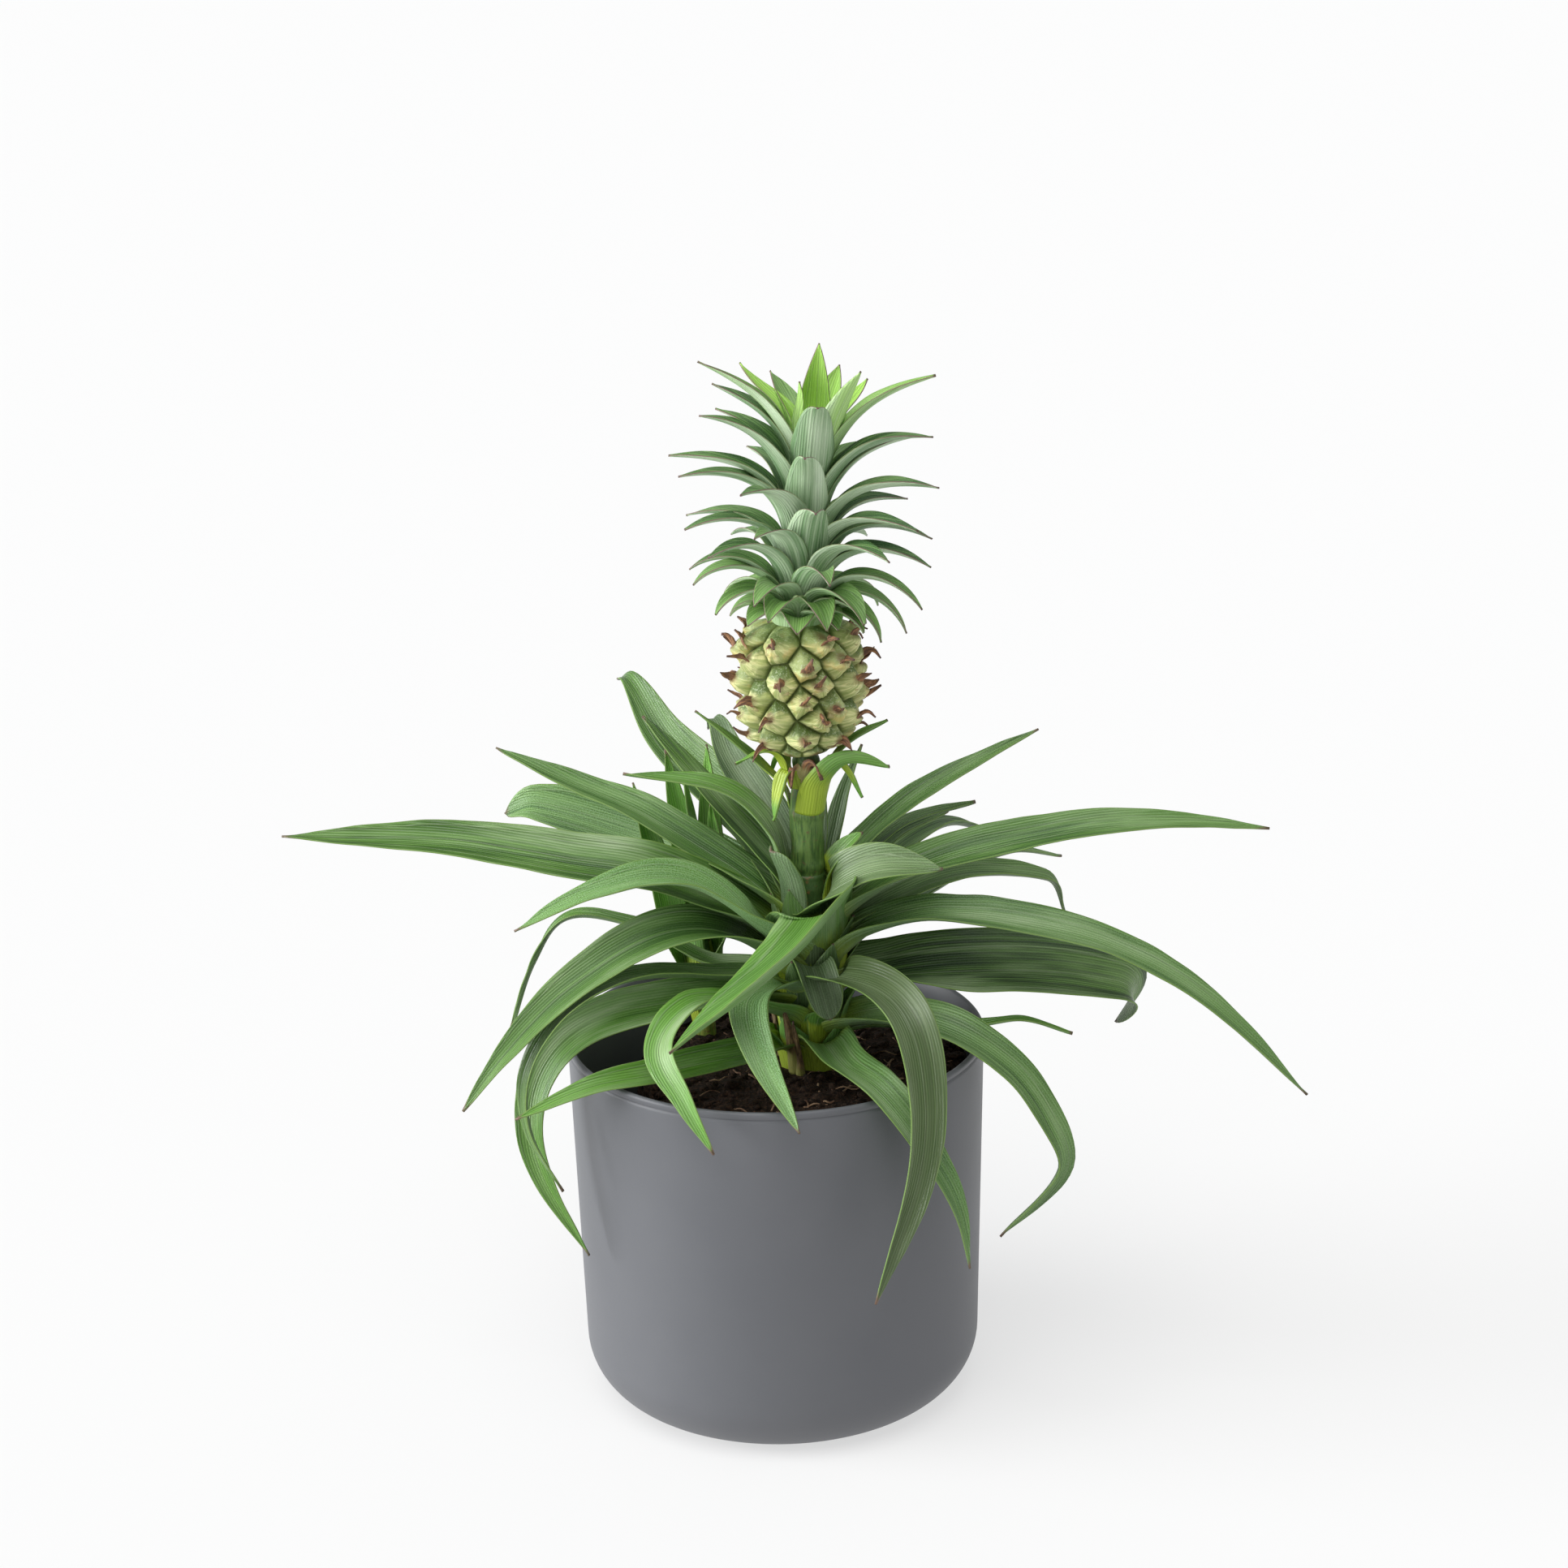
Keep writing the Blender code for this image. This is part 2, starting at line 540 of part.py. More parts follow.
def make_crown(finish, leaf_finish, into, cutters):
    """A tapering core, and whorls of leaves whose sheaths join into a ring round it."""
    bottom = SOIL_Z + STEM_HEIGHT + PEDUNCLE_HEIGHT + FRUIT_HEIGHT + 2 * GAP
    lean = Matrix.Rotation(math.radians(CROWN_LEAN), 4, "Y")
    axis = Matrix.Translation((PLANT_X, PLANT_Y, bottom)) @ lean
    core = turned(
        "crown_stem",
        [(0.0, CROWN_HEIGHT), (crown_radius(1), CROWN_HEIGHT), (crown_radius(0), 0.0), (0.0, 0.0)],
        finish,
        into,
        20,
    )
    core.matrix_world = axis
    count = CROWN_WHORLS * CROWN_WHORL_LEAVES
    pitch = (CROWN_HEIGHT - GAP) / CROWN_WHORLS
    for whorl in range(CROWN_WHORLS):
        low = 2 * GAP + whorl * pitch
        high = low + pitch - GAP
        inner = [crown_radius(z / CROWN_HEIGHT) + GAP for z in (high, low)]
        ring = turned(
            f"crown_whorl_{whorl + 1}",
            [
                (inner[0], high),
                (inner[0] + CROWN_RING_WALL, high),
                (inner[1] + CROWN_RING_WALL, low),
                (inner[1], low),
            ],
            leaf_finish,
            into,
            20,
            ring=True,
        )
        ring.matrix_world = axis
        joined = bmesh.new()
        for number in range(whorl * CROWN_WHORL_LEAVES, (whorl + 1) * CROWN_WHORL_LEAVES):
            step = (number % CROWN_WHORL_LEAVES + 0.5) / CROWN_WHORL_LEAVES
            height = mix(low + LEAF_THICKNESS, low + 0.6 * pitch, step)
            out = crown_radius(height / CROWN_HEIGHT) + GAP + 0.8 * CROWN_RING_WALL
            turn = math.radians(number * GOLDEN_ANGLE)
            leaf = crown_leaf(number, count, Vector((out * math.cos(turn), out * math.sin(turn), height)))
            one = blade(leaf, leaf.midrib, 5)
            piece = bpy.data.meshes.new("crown_leaf")
            one.to_mesh(piece)
            one.free()
            joined.from_mesh(piece)
            bpy.data.meshes.remove(piece)
        leaves = add_mesh(f"crown_whorl_{whorl + 1}_leaves", joined, leaf_finish, cutters)
        leaves.matrix_world = axis
        thicken(leaves, CROWN_LEAF_THICKNESS)
        cutter(leaves, cutters)
        boolean(ring, leaves, "UNION")


def main():
    clear_scene()
    plant = collection("potted_pineapple_plant")
    cutters = collection("cutters")
    plastic = material("pot_plastic", (0.11, 0.115, 0.125), 0.5)
    soil = material("soil", (0.045, 0.025, 0.017), 0.95)
    leaf_green = material("leaf_green", (0.06, 0.16, 0.06), 0.45)
    stem_green = material("stem_green", (0.28, 0.42, 0.07), 0.5)
    fruit_skin = material("fruit_skin", (0.35, 0.4, 0.12), 0.5)
    crown_green = material("crown_green", (0.1, 0.22, 0.1), 0.5)
    make_pot(plastic, plant)
    make_root_ball(soil, plant, cutters)
    make_stems(stem_green, plant)
    on_stem = (PLANT_X, PLANT_Y)
    on_shoot = (SHOOT_X, SHOOT_Y)
    make_leaves("leaf", ROSETTE, on_stem, SPREAD, plant_height, stem_radius, leaf_green, plant)
    make_leaves("bract", BRACTS, on_stem, BRACT_SPREAD, plant_height, stem_radius, stem_green, plant, 6)
    make_leaves("side_shoot_leaf", SHOOT, on_shoot, SPREAD, shoot_height, shoot_radius, leaf_green, plant, 8)
    make_fruit(fruit_skin, plant)
    make_crown(stem_green, crown_green, plant, cutters)


main()
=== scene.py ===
# %% [markdown]
# # A potted miniature pineapple plant
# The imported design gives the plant's bones: plain solids that say where each leaf, the fruit and the pot
# stand. This lesson grows the visible plant round them, one piece and one finish at a time. Everything is in
# metres, and the boxes of the solids say where the pot, the soil, the stems and the fruit are.

# %% Load the design
import math
import random
from collections import namedtuple

import bmesh
import bpy
from mathutils import Matrix, Vector, noise
from mathutils.geometry import interpolate_bezier


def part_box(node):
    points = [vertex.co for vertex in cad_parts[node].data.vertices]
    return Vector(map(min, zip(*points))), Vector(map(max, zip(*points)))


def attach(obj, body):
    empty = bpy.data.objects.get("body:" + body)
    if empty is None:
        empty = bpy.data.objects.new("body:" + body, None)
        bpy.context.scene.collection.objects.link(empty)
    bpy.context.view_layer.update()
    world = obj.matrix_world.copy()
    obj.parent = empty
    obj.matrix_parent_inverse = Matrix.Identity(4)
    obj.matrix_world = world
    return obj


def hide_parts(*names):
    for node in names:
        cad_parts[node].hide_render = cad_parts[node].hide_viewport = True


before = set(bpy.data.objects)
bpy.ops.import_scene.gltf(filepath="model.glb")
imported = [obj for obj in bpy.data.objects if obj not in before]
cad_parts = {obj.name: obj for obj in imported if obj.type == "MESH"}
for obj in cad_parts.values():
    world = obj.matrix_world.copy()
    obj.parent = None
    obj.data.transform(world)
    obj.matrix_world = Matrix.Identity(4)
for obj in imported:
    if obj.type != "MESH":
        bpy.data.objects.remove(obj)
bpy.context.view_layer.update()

MM = 0.001

# %% [markdown]
# ## Measures from the solids
# A box has a lowest and a highest corner. The pot's box gives its radius and height, and the soil lies a little
# below its rim. The stem's box gives the axis that every leaf grows from, and the other boxes say where the
# root ball, the stalk, the fruit, the crown and the side shoot are.

# %% Measure the solids
soil_low, soil_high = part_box("root_ball")
stem_low, stem_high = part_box("stem")
stalk_low, stalk_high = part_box("peduncle")
fruit_low, fruit_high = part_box("fruit")
core_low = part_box("crown_stem")[0]
shoot_low, shoot_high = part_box("side_shoot_stem")
POT_RADIUS, _, POT_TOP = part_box("pot")[1]
SOIL_DEPTH = 10.5 * MM
SOIL_TOP = POT_TOP - SOIL_DEPTH
PLANT = Vector(((stem_low.x + stem_high.x) / 2, (stem_low.y + stem_high.y) / 2, SOIL_TOP))
SHOOT_FOOT = Vector(((shoot_low.x + shoot_high.x) / 2, (shoot_low.y + shoot_high.y) / 2, SOIL_TOP))
STEM_BASE_RADIUS = (stem_high.x - stem_low.x) / 2
STEM_TOP_RADIUS = 6.2 * MM
STEM_HEIGHT = stem_high.z - SOIL_TOP
STALK_RADIUS = (stalk_high.x - stalk_low.x) / 2
SHOOT_RADIUS = (shoot_high.x - shoot_low.x) / 2
print("soil at", round(SOIL_TOP / MM, 1), "mm, plant axis at", [round(v / MM, 1) for v in PLANT])

# %% [markdown]
# ## A small language for shader maths
# A node tree is easiest to read as a formula. `Socket` wraps an output, and its operators add Math nodes, so
# `1 - mask * 0.5` is an expression here too.


# %% Sockets
class Socket:
    """An output of a node. Sums and products with numbers or other outputs add Math nodes."""

    def __init__(self, finish, output):
        self.finish, self.output = finish, output

    def _maths(self, operation, *values):
        sockets = dict(enumerate(values))
        return self.finish.node("ShaderNodeMath", {"operation": operation}, sockets)

    def __add__(self, other):
        return self._maths("ADD", self, other)

    def __radd__(self, other):
        return self._maths("ADD", other, self)

    def __sub__(self, other):
        return self._maths("SUBTRACT", self, other)

    def __rsub__(self, other):
        return self._maths("SUBTRACT", other, self)

    def __mul__(self, other):
        return self._maths("MULTIPLY", self, other)

    def __rmul__(self, other):
        return self._maths("MULTIPLY", other, self)

    def sine(self):
        return self._maths("SINE", self)

    def size(self):
        return self._maths("ABSOLUTE", self)

    def most(self, other):
        return self._maths("MAXIMUM", self, other)

    def band(self, start, end):
        """0 up to start, 1 from end on, and smooth between. With start above end, it falls instead."""
        settings = {"interpolation_type": "SMOOTHSTEP"}
        sockets = {"Value": self, "From Min": start, "From Max": end}
        if start > end:
            sockets.update({"From Min": end, "From Max": start, "To Min": 1.0, "To Max": 0.0})
        return self.finish.node("ShaderNodeMapRange", settings, sockets)


# %% [markdown]
# ## A finish under construction
# `Finish` is one material with its Principled shader. Its `node` method adds any node, and the shorter methods
# after it stand for the few kinds that this lesson uses again and again. Values that are the same all over a
# surface are set on the shader at once, and only what varies is fed by nodes.


# %% Finishes
class Finish:
    """One material: a Principled shader, and the nodes that feed it."""

    def __init__(self, name, **constants):
        self.material = bpy.data.materials.new(name)
        self.material.use_nodes = True
        self.tree = self.material.node_tree
        self.shader = self.tree.nodes["Principled BSDF"]
        for socket, value in constants.items():
            self.shader.inputs[socket.replace("_", " ")].default_value = value
        print("finish:", name)

    def put(self, node, socket, value):
        """Links an output to a socket, or sets the socket's value."""
        if isinstance(value, Socket):
            self.tree.links.new(value.output, node.inputs[socket])
        elif isinstance(value, tuple) and len(value) == 3 and node.inputs[socket].type == "RGBA":
            node.inputs[socket].default_value = (*value, 1.0)
        else:
            node.inputs[socket].default_value = value

    def node(self, kind, settings=None, sockets=None, output=0):
        """Adds a node. Its settings come first, then the values or links of its sockets."""
        made = self.tree.nodes.new(kind)
        for name, value in (settings or {}).items():
            setattr(made, name, value)
        for socket, value in (sockets or {}).items():
            self.put(made, socket, value)
        return Socket(self, made.outputs[output])

    def mix(self, start, end, share):
        """A colour between two colours."""
        sockets = {0: share, 6: start, 7: end}
        return self.node("ShaderNodeMix", {"data_type": "RGBA"}, sockets, output=2)

    def glaze(self, colour, *layers):
        """Lays tints over a colour, one after another, each by its share."""
        for tint, share in layers:
            colour = self.mix(colour, tint, share)
        return colour

    def split(self, vector):
        """The three numbers of a vector."""
        first = self.node("ShaderNodeSeparateXYZ", None, {0: vector})
        return [Socket(self, output) for output in first.output.node.outputs]

    def vector(self, x, y, z):
        return self.node("ShaderNodeCombineXYZ", None, {0: x, 1: y, 2: z})

    def noise(self, place, scale, detail=3.0, roughness=0.55):
        sockets = {"Vector": place, "Scale": scale, "Detail": detail, "Roughness": roughness}
        return self.node("ShaderNodeTexNoise", None, sockets)

    def object_place(self):
        """Object coordinates, in millimetres."""
        place = self.node("ShaderNodeTexCoord", output=3)
        return self.node("ShaderNodeVectorMath", {"operation": "SCALE"}, {0: place, "Scale": 1 / MM})

    def surface_place(self, name):
        """A UV map of the piece's own."""
        return self.node("ShaderNodeUVMap", {"uv_map": name})

    def attribute(self, name):
        return self.node("ShaderNodeAttribute", {"attribute_name": name}, output=1)

    def feed(self, **sockets):
        """Links what varies over the surface: Base_Color, Roughness and so on."""
        for socket, value in sockets.items():
            self.put(self.shader, socket.replace("_", " "), value)

    def bump(self, height, distance, strength=1.0):
        """Small relief: height is in millimetres times the distance."""
        sockets = {"Height": height, "Distance": distance, "Strength": strength}
        self.feed(Normal=self.node("ShaderNodeBump", None, sockets))


# %% [markdown]
# ## Helpers for meshes
# A finished piece is one object at the origin, with its place in its mesh. `add_piece` turns a bmesh into such
# an object, rides it on the design's only body, and hides the solids it stands for.


# %% Mesh helpers
UP = Vector((0.0, 0.0, 1.0))


def smooth(share):
    """0 up to 0, 1 from 1 on, with no corner in between."""
    share = min(max(share, 0.0), 1.0)
    return share * share * (3 - 2 * share)


def mix(start, end, share):
    return start + (end - start) * share


def level(turn):
    """The level direction at an angle from +X."""
    return Vector((math.cos(turn), math.sin(turn), 0.0))


def in_scene(name, data):
    """A new object that holds the data."""
    made = bpy.data.objects.new(name, data)
    bpy.context.scene.collection.objects.link(made)
    return made


def object_of(name, bm, finishes):
    """An object whose mesh is the bmesh, with its finishes."""
    mesh = bpy.data.meshes.new(name)
    bm.to_mesh(mesh)
    bm.free()
    for finish in finishes:
        mesh.materials.append(finish.material)
    return in_scene(name, mesh)


def add_piece(name, bm, finishes, nodes=(), recalculate=False):
    """A smooth piece of the plant, which replaces the solids named in nodes."""
    if recalculate:
        bmesh.ops.recalc_face_normals(bm, faces=bm.faces)
    piece = object_of(name, bm, finishes)
    piece.data.shade_smooth()
    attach(piece, "root")
    if nodes:
        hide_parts(*nodes)
    print("made", name, "with", len(piece.data.polygons), "faces")
    return piece


def turned(profile, steps, axis=(0.0, 0.0, 0.0)):
    """A bmesh turned round an upright axis from (radius, height) points."""
    bm = bmesh.new()
    line = [bm.verts.new((radius, 0.0, height)) for radius, height in profile]
    for start, end in zip(line, line[1:]):
        bm.edges.new((start, end))
    bmesh.ops.spin(
        bm, geom=bm.verts[:] + bm.edges[:], cent=(0, 0, 0), axis=UP, angle=math.tau, steps=steps, use_merge=True
    )
    bmesh.ops.remove_doubles(bm, verts=bm.verts, dist=1e-6)
    bmesh.ops.translate(bm, vec=axis, verts=bm.verts)
    bmesh.ops.recalc_face_normals(bm, faces=bm.faces)
    return bm


def arc(centre, radius, start, end, steps):
    """(radius, height) points on a round corner, from one angle to another in degrees."""
    angles = [math.radians(mix(start, end, i / steps)) for i in range(steps + 1)]
    return [(centre[0] + radius * math.cos(a), centre[1] + radius * math.sin(a)) for a in angles]


# %% [markdown]
# ## The pot's finish
# The pot is moulded plastic with a satin surface. It is one grey all over, so what keeps it from looking flat
# is small: a fine moulded grain, faint cloudy patches in the gloss, and dust near the foot.

# %% Pot finish
pot_plastic = Finish("pot_plastic", Specular_IOR_Level=0.5)
place = pot_plastic.object_place()
clouds = pot_plastic.noise(place, 0.035, 4.0)
grain = pot_plastic.noise(place, 2.2, 2.0)
height = pot_plastic.split(place)[2]
foot_dust = height.band(26.0, 2.0) * clouds
grey = pot_plastic.glaze(
    (0.092, 0.096, 0.107), ((0.112, 0.116, 0.126), clouds), ((0.15, 0.15, 0.155), foot_dust * 0.35)
)
pot_plastic.feed(Base_Color=grey, Roughness=0.40 + clouds * 0.14 + grain * 0.05)
pot_plastic.bump(grain, 0.00006, 0.5)

# %% [markdown]
# ## The pot
# A turned shell suits `spin`: half a profile goes round the axis. The profile runs up the inside, over a thin
# rolled lip with a fine groove under it, and down the outside to the rounded foot.

# %% Model the pot
POT_TAPER, POT_WALL, POT_FLOOR, POT_CORNER, LIP = 2.8 * MM, 3.0 * MM, 4.0 * MM, 20.0 * MM, 1.0 * MM
WALL_STEPS = 8
flat_radius = POT_RADIUS - POT_TAPER - POT_CORNER
profile = [(0.0, POT_FLOOR)]
profile += arc((flat_radius, POT_CORNER), POT_CORNER - POT_WALL, -90, 0, 10)
profile += [(POT_RADIUS - POT_WALL, POT_TOP - 6 * MM), (POT_RADIUS - POT_WALL + 0.7 * MM, POT_TOP - 1.4 * MM)]
profile += arc((POT_RADIUS - LIP, POT_TOP - LIP), LIP, 170, -30, 10)
for inset, drop in [(0.25, 2.2), (0.75, 2.6), (0.3, 3.1)]:
    profile.append((POT_RADIUS - inset * MM, POT_TOP - drop * MM))
for i in range(WALL_STEPS):
    share = i / WALL_STEPS
    radius = mix(POT_RADIUS - 0.3 * MM, POT_RADIUS - POT_TAPER, share)
    profile.append((radius, mix(POT_TOP - 4 * MM, POT_CORNER, share)))
profile += arc((flat_radius, POT_CORNER), POT_CORNER, 0, -90, 16) + [(0.0, 0.0)]
add_piece("flower_pot", turned(profile, 160), [pot_plastic], ["pot"])

# %% [markdown]
# ## The soil's finish
# Potting peat is nearly black where it is damp and warm brown where a crumb stands up into the light. The
# colour follows noise at two scales, and the surface is rough all over.

# %% Soil finish
peat = Finish("peat", Roughness=0.95, Specular_IOR_Level=0.25)
place = peat.object_place()
lumps = peat.noise(place, 0.16, 4.0)
crumbs = peat.noise(place, 0.9, 4.0, 0.7)
peat.feed(Base_Color=peat.glaze(
    (0.010, 0.006, 0.004),
    ((0.060, 0.032, 0.018), crumbs.band(0.38, 0.66)),
    ((0.11, 0.065, 0.038), lumps.band(0.56, 0.74) * crumbs.band(0.5, 0.7)),
))
peat.bump(crumbs + lumps, 0.0012, 0.9)

root_hair = Finish("root_hair", Roughness=0.8)
patches = root_hair.noise(root_hair.object_place(), 0.25).band(0.35, 0.65)
root_hair.feed(Base_Color=root_hair.mix((0.12, 0.055, 0.030), (0.34, 0.22, 0.13), patches))

# %% [markdown]
# ## The soil
# The root ball came from a smaller pot, so it stands a little to one side with a dark gap round it. It starts
# as a cone with its tip cut off. The sides are subdivided, the top is inset ring by ring, and noise pushes the
# points about, which gives it lumps.

# %% Model the soil
BALL_CENTRE = Vector(((soil_low.x + soil_high.x) / 2, (soil_low.y + soil_high.y) / 2, 0.0))
BALL_RADIUS = (soil_high.x - soil_low.x) / 2
BALL_FOOT = 5 * MM
RINGS, EDGE_DROP = 34, 4.5  # the peat's edge lies this many millimetres lower than its middle


def shoulder(share):
    """How far the peat has rounded off towards the ball's edge: 0 inside, 1 at the edge."""
    return smooth((share - 0.86) / 0.14)


def peat_level(x, y):
    """How far the top of the peat stands above or below the level of the soil."""
    at = Vector((x, y, 0.0)) / MM
    broad = noise.noise(at * 0.035 + Vector((3.1, 0.2, 0.0)))
    fine = noise.noise(at * 0.13) * 0.6 + noise.noise(at * 0.37) * 0.45
    return (-1.0 + 2.4 * broad + 1.9 * fine) * MM


bm = bmesh.new()
narrow, depth = BALL_RADIUS - 8 * MM, SOIL_TOP - BALL_FOOT
bmesh.ops.create_cone(bm, cap_ends=True, segments=120, radius1=narrow, radius2=BALL_RADIUS, depth=depth)
bmesh.ops.translate(bm, vec=BALL_CENTRE + UP * ((SOIL_TOP + BALL_FOOT) / 2), verts=bm.verts)
sides = [e for e in bm.edges if abs(e.verts[0].co.z - e.verts[1].co.z) > MM]
bmesh.ops.subdivide_edges(bm, edges=sides, cuts=50, use_grid_fill=True)
top = [f for f in bm.faces if f.normal.z > 0.9]
for _ in range(RINGS):
    bmesh.ops.inset_region(bm, faces=top, thickness=BALL_RADIUS / (RINGS + 2))
for vert in bm.verts:
    at = vert.co / MM
    out = Vector((vert.co.x - BALL_CENTRE.x, vert.co.y - BALL_CENTRE.y, 0.0))
    share = out.length / BALL_RADIUS
    if vert.co.z > SOIL_TOP - 0.1 * MM:
        drop = shoulder(share) * (EDGE_DROP + 3 * noise.noise(at * 0.09)) * MM
        vert.co.z += peat_level(vert.co.x, vert.co.y) - drop
    if share > 0.8:
        lump = noise.noise(at * 0.06) * 2.2 + noise.noise(at * 0.22) * 1.6 + noise.noise(at * 0.6) * 0.7
        vert.co += out.normalized() * (lump - 0.6) * MM
add_piece("peat_ball", bm, [peat], ["root_ball"], recalculate=True)

# %% [markdown]
# ## Crumbs and root hairs
# Loose peat is never a closed surface, so small crumbs and pale roots are scattered over it. There are
# hundreds, so each is made of few faces: a crumb is a coarse icosphere squashed at random, and a root is a
# five-sided circle extruded along a wandering line.

# %% Scatter the crumbs
CRUMBS = 900
chance = random.Random(11)


def spot_on_peat():
    """A chance point on the top of the peat."""
    turn, out = chance.uniform(0, math.tau), BALL_RADIUS * math.sqrt(chance.random()) * 0.96
    x, y = BALL_CENTRE.x + out * math.cos(turn), BALL_CENTRE.y + out * math.sin(turn)
    return Vector((x, y, SOIL_TOP + peat_level(x, y) - EDGE_DROP * MM * shoulder(out / BALL_RADIUS)))


bm = bmesh.new()
for _ in range(CRUMBS):
    size = chance.choice((0.7, 0.9, 1.2, 1.7, 2.6)) * MM
    made = bmesh.ops.create_icosphere(bm, subdivisions=1, radius=size)["verts"]
    shape = Matrix.Diagonal((chance.uniform(0.6, 1.5), chance.uniform(0.5, 1.1), chance.uniform(0.35, 0.8)))
    turn = Matrix.Rotation(chance.uniform(0, math.tau), 3, "Z")
    turn @= Matrix.Rotation(chance.uniform(-0.7, 0.7), 3, "X")
    spot = spot_on_peat()
    for vert in made:
        vert.co = spot + turn @ (shape @ vert.co) * chance.uniform(0.75, 1.25)
add_piece("peat_crumbs", bm, [peat], recalculate=True)

# %% Lay the roots
ROOTS, ROOT_STEPS = 110, 7
bm = bmesh.new()
for _ in range(ROOTS):
    spot, heading = spot_on_peat(), chance.uniform(0, math.tau)
    bend, length = chance.uniform(-1.6, 1.6), chance.uniform(4, 13) * MM
    ring = bmesh.ops.create_circle(bm, segments=5, radius=chance.uniform(0.16, 0.38) * MM)["verts"]
    across = Matrix.Rotation(heading, 3, "Z") @ Matrix.Rotation(math.pi / 2, 3, "Y")
    bmesh.ops.rotate(bm, cent=(0, 0, 0), matrix=across, verts=ring)
    bmesh.ops.translate(bm, vec=spot, verts=ring)
    edges = list({e for v in ring for e in v.link_edges})
    for step in range(ROOT_STEPS):
        grown = bmesh.ops.extrude_edge_only(bm, edges=edges)["geom"]
        ring = [g for g in grown if isinstance(g, bmesh.types.BMVert)]
        edges = [g for g in grown if isinstance(g, bmesh.types.BMEdge)]
        heading += bend / ROOT_STEPS
        centre = sum((v.co for v in ring), Vector()) / len(ring)
        bmesh.ops.rotate(bm, cent=centre, matrix=Matrix.Rotation(bend / ROOT_STEPS, 3, "Z"), verts=ring)
        move = level(heading) + UP * (0.5 * math.sin(step * 1.1 + bend))
        bmesh.ops.translate(bm, vec=move * length / ROOT_STEPS, verts=ring)
bmesh.ops.holes_fill(bm, edges=bm.edges, sides=5)
add_piece("root_hairs", bm, [root_hair], recalculate=True)
print("crumbs:", CRUMBS, "roots:", ROOTS)

# %% [markdown]
# ## The leaf's finishes
# A leaf has two faces. The upper one is green and smooth with fine lines along it; the lower one has a silvery
# bloom. Both are paler in patches of bloom, and more so along the bend of the leaf, a painted sheen for the
# light that grazes it. The foot that clasps the stem is yellow-green, the margin is a pale thread, and the last
# few millimetres of the tip have dried to brown. Each leaf's mesh carries two UV maps, one in millimetres for
# the lines and one in shares of its width and length for the foot, margin and tip, and a `tone` attribute that
# says how fresh, how scurfy and how olive this leaf is.


# %% Leaf finishes
OLIVE, SCURF, CLASP = (0.066, 0.092, 0.036), (0.33, 0.55, 0.28), (0.34, 0.45, 0.04)
MARGIN, DRIED_TIP, YOUNG_GREEN = (0.22, 0.34, 0.08), (0.13, 0.075, 0.055), (0.13, 0.37, 0.022)
LEAF_FOOT = (0.10, -0.05)  # the shares of the leaf where the foot's colour has gone, and where it is full


def leaf_finish(name, dark, light, bloom_and_sheen, bloom_and_sheen_share, roughness, foot=LEAF_FOOT, young=YOUNG_GREEN):
    """A green face between a dark and a light tone, yellow-green over the foot's stretch of the leaf."""
    finish = Finish(name, Specular_IOR_Level=0.4, Coat_Weight=0.08, Coat_Roughness=0.3)
    across, along, _ = finish.split(finish.surface_place("millimetres"))
    side, reach, _ = finish.split(finish.surface_place("share"))
    fresh, scurf, olive = finish.split(finish.attribute("tone"))
    wander = finish.noise(finish.vector(across * 0.2, along * 0.012, 0.0), 1.0, 2.0)
    lines = (across * 7.2 + wander * 5.0).sine() * 0.5 + 0.5
    streaks = finish.noise(finish.vector(across * 0.8, along * 0.012, 3.0), 1.0, 4.0, 0.6)
    patches = finish.noise(finish.vector(across * 0.10, along * 0.014, 7.0), 1.0, 3.0)
    grains = finish.noise(finish.vector(across, along, 0.0), 2.6, 2.0, 0.7)
    ribs = (side * 9.5 + wander * 3.0 - 1.0).sine().band(0.90, 1.0)
    # The stretch where the leaf bends over, which gets a painted sheen below.
    arch_sheen = reach.band(-0.02, 0.16) * reach.band(0.85, 0.5)
    sheath_end = reach + (streaks - 0.5) * 0.1 - (fresh - 0.9).most(0.0) * 4
    colour = finish.glaze(
        dark,
        (light, (streaks * 0.75 + patches * 0.75 + fresh * 0.1).band(0.60, 0.90)),
        (OLIVE, olive * patches.band(0.20, 0.50) * 0.88),
        (young, fresh * (0.35 + streaks * 0.8)),
        # Pale bloom in patches, made paler along the bend of the leaf: that part is a painted sheen for the
        # light grazing the bend.
        (bloom_and_sheen, patches.band(0.44, 0.76) * (0.30 + arch_sheen * 0.9) * (1 - olive * 0.7) * bloom_and_sheen_share),
        (bloom_and_sheen, ribs * 0.22),
        (dark, (1 - lines) * streaks.band(0.35, 0.65) * 0.45),
        (bloom_and_sheen, lines * (0.10 + scurf * 0.25) * streaks.band(0.25, 0.65)),
        (SCURF, scurf * grains.band(0.42, 0.66) * 0.75),
        (CLASP, sheath_end.band(*foot)),
        (MARGIN, side.size().band(0.962, 0.995) * 0.5),
        (DRIED_TIP, (reach + (streaks - 0.5) * 0.03).band(0.975, 0.997) * 0.85),
    )
    finish.feed(Base_Color=colour, Roughness=roughness + scurf * 0.2 + patches * 0.12 - lines * 0.04)
    finish.bump(lines * 0.5 + streaks * 0.9 + ribs + grains * scurf * 0.8, 0.00030, 0.7)
    return finish


def margin_finish(name, green, dry, start, end):
    """The thin rim of a leaf, which dries between two shares of its length."""
    finish = Finish(name, Roughness=0.5)
    _, reach, _ = finish.split(finish.surface_place("share"))
    finish.feed(Base_Color=finish.mix(green, dry, reach.band(start, end)))
    return finish


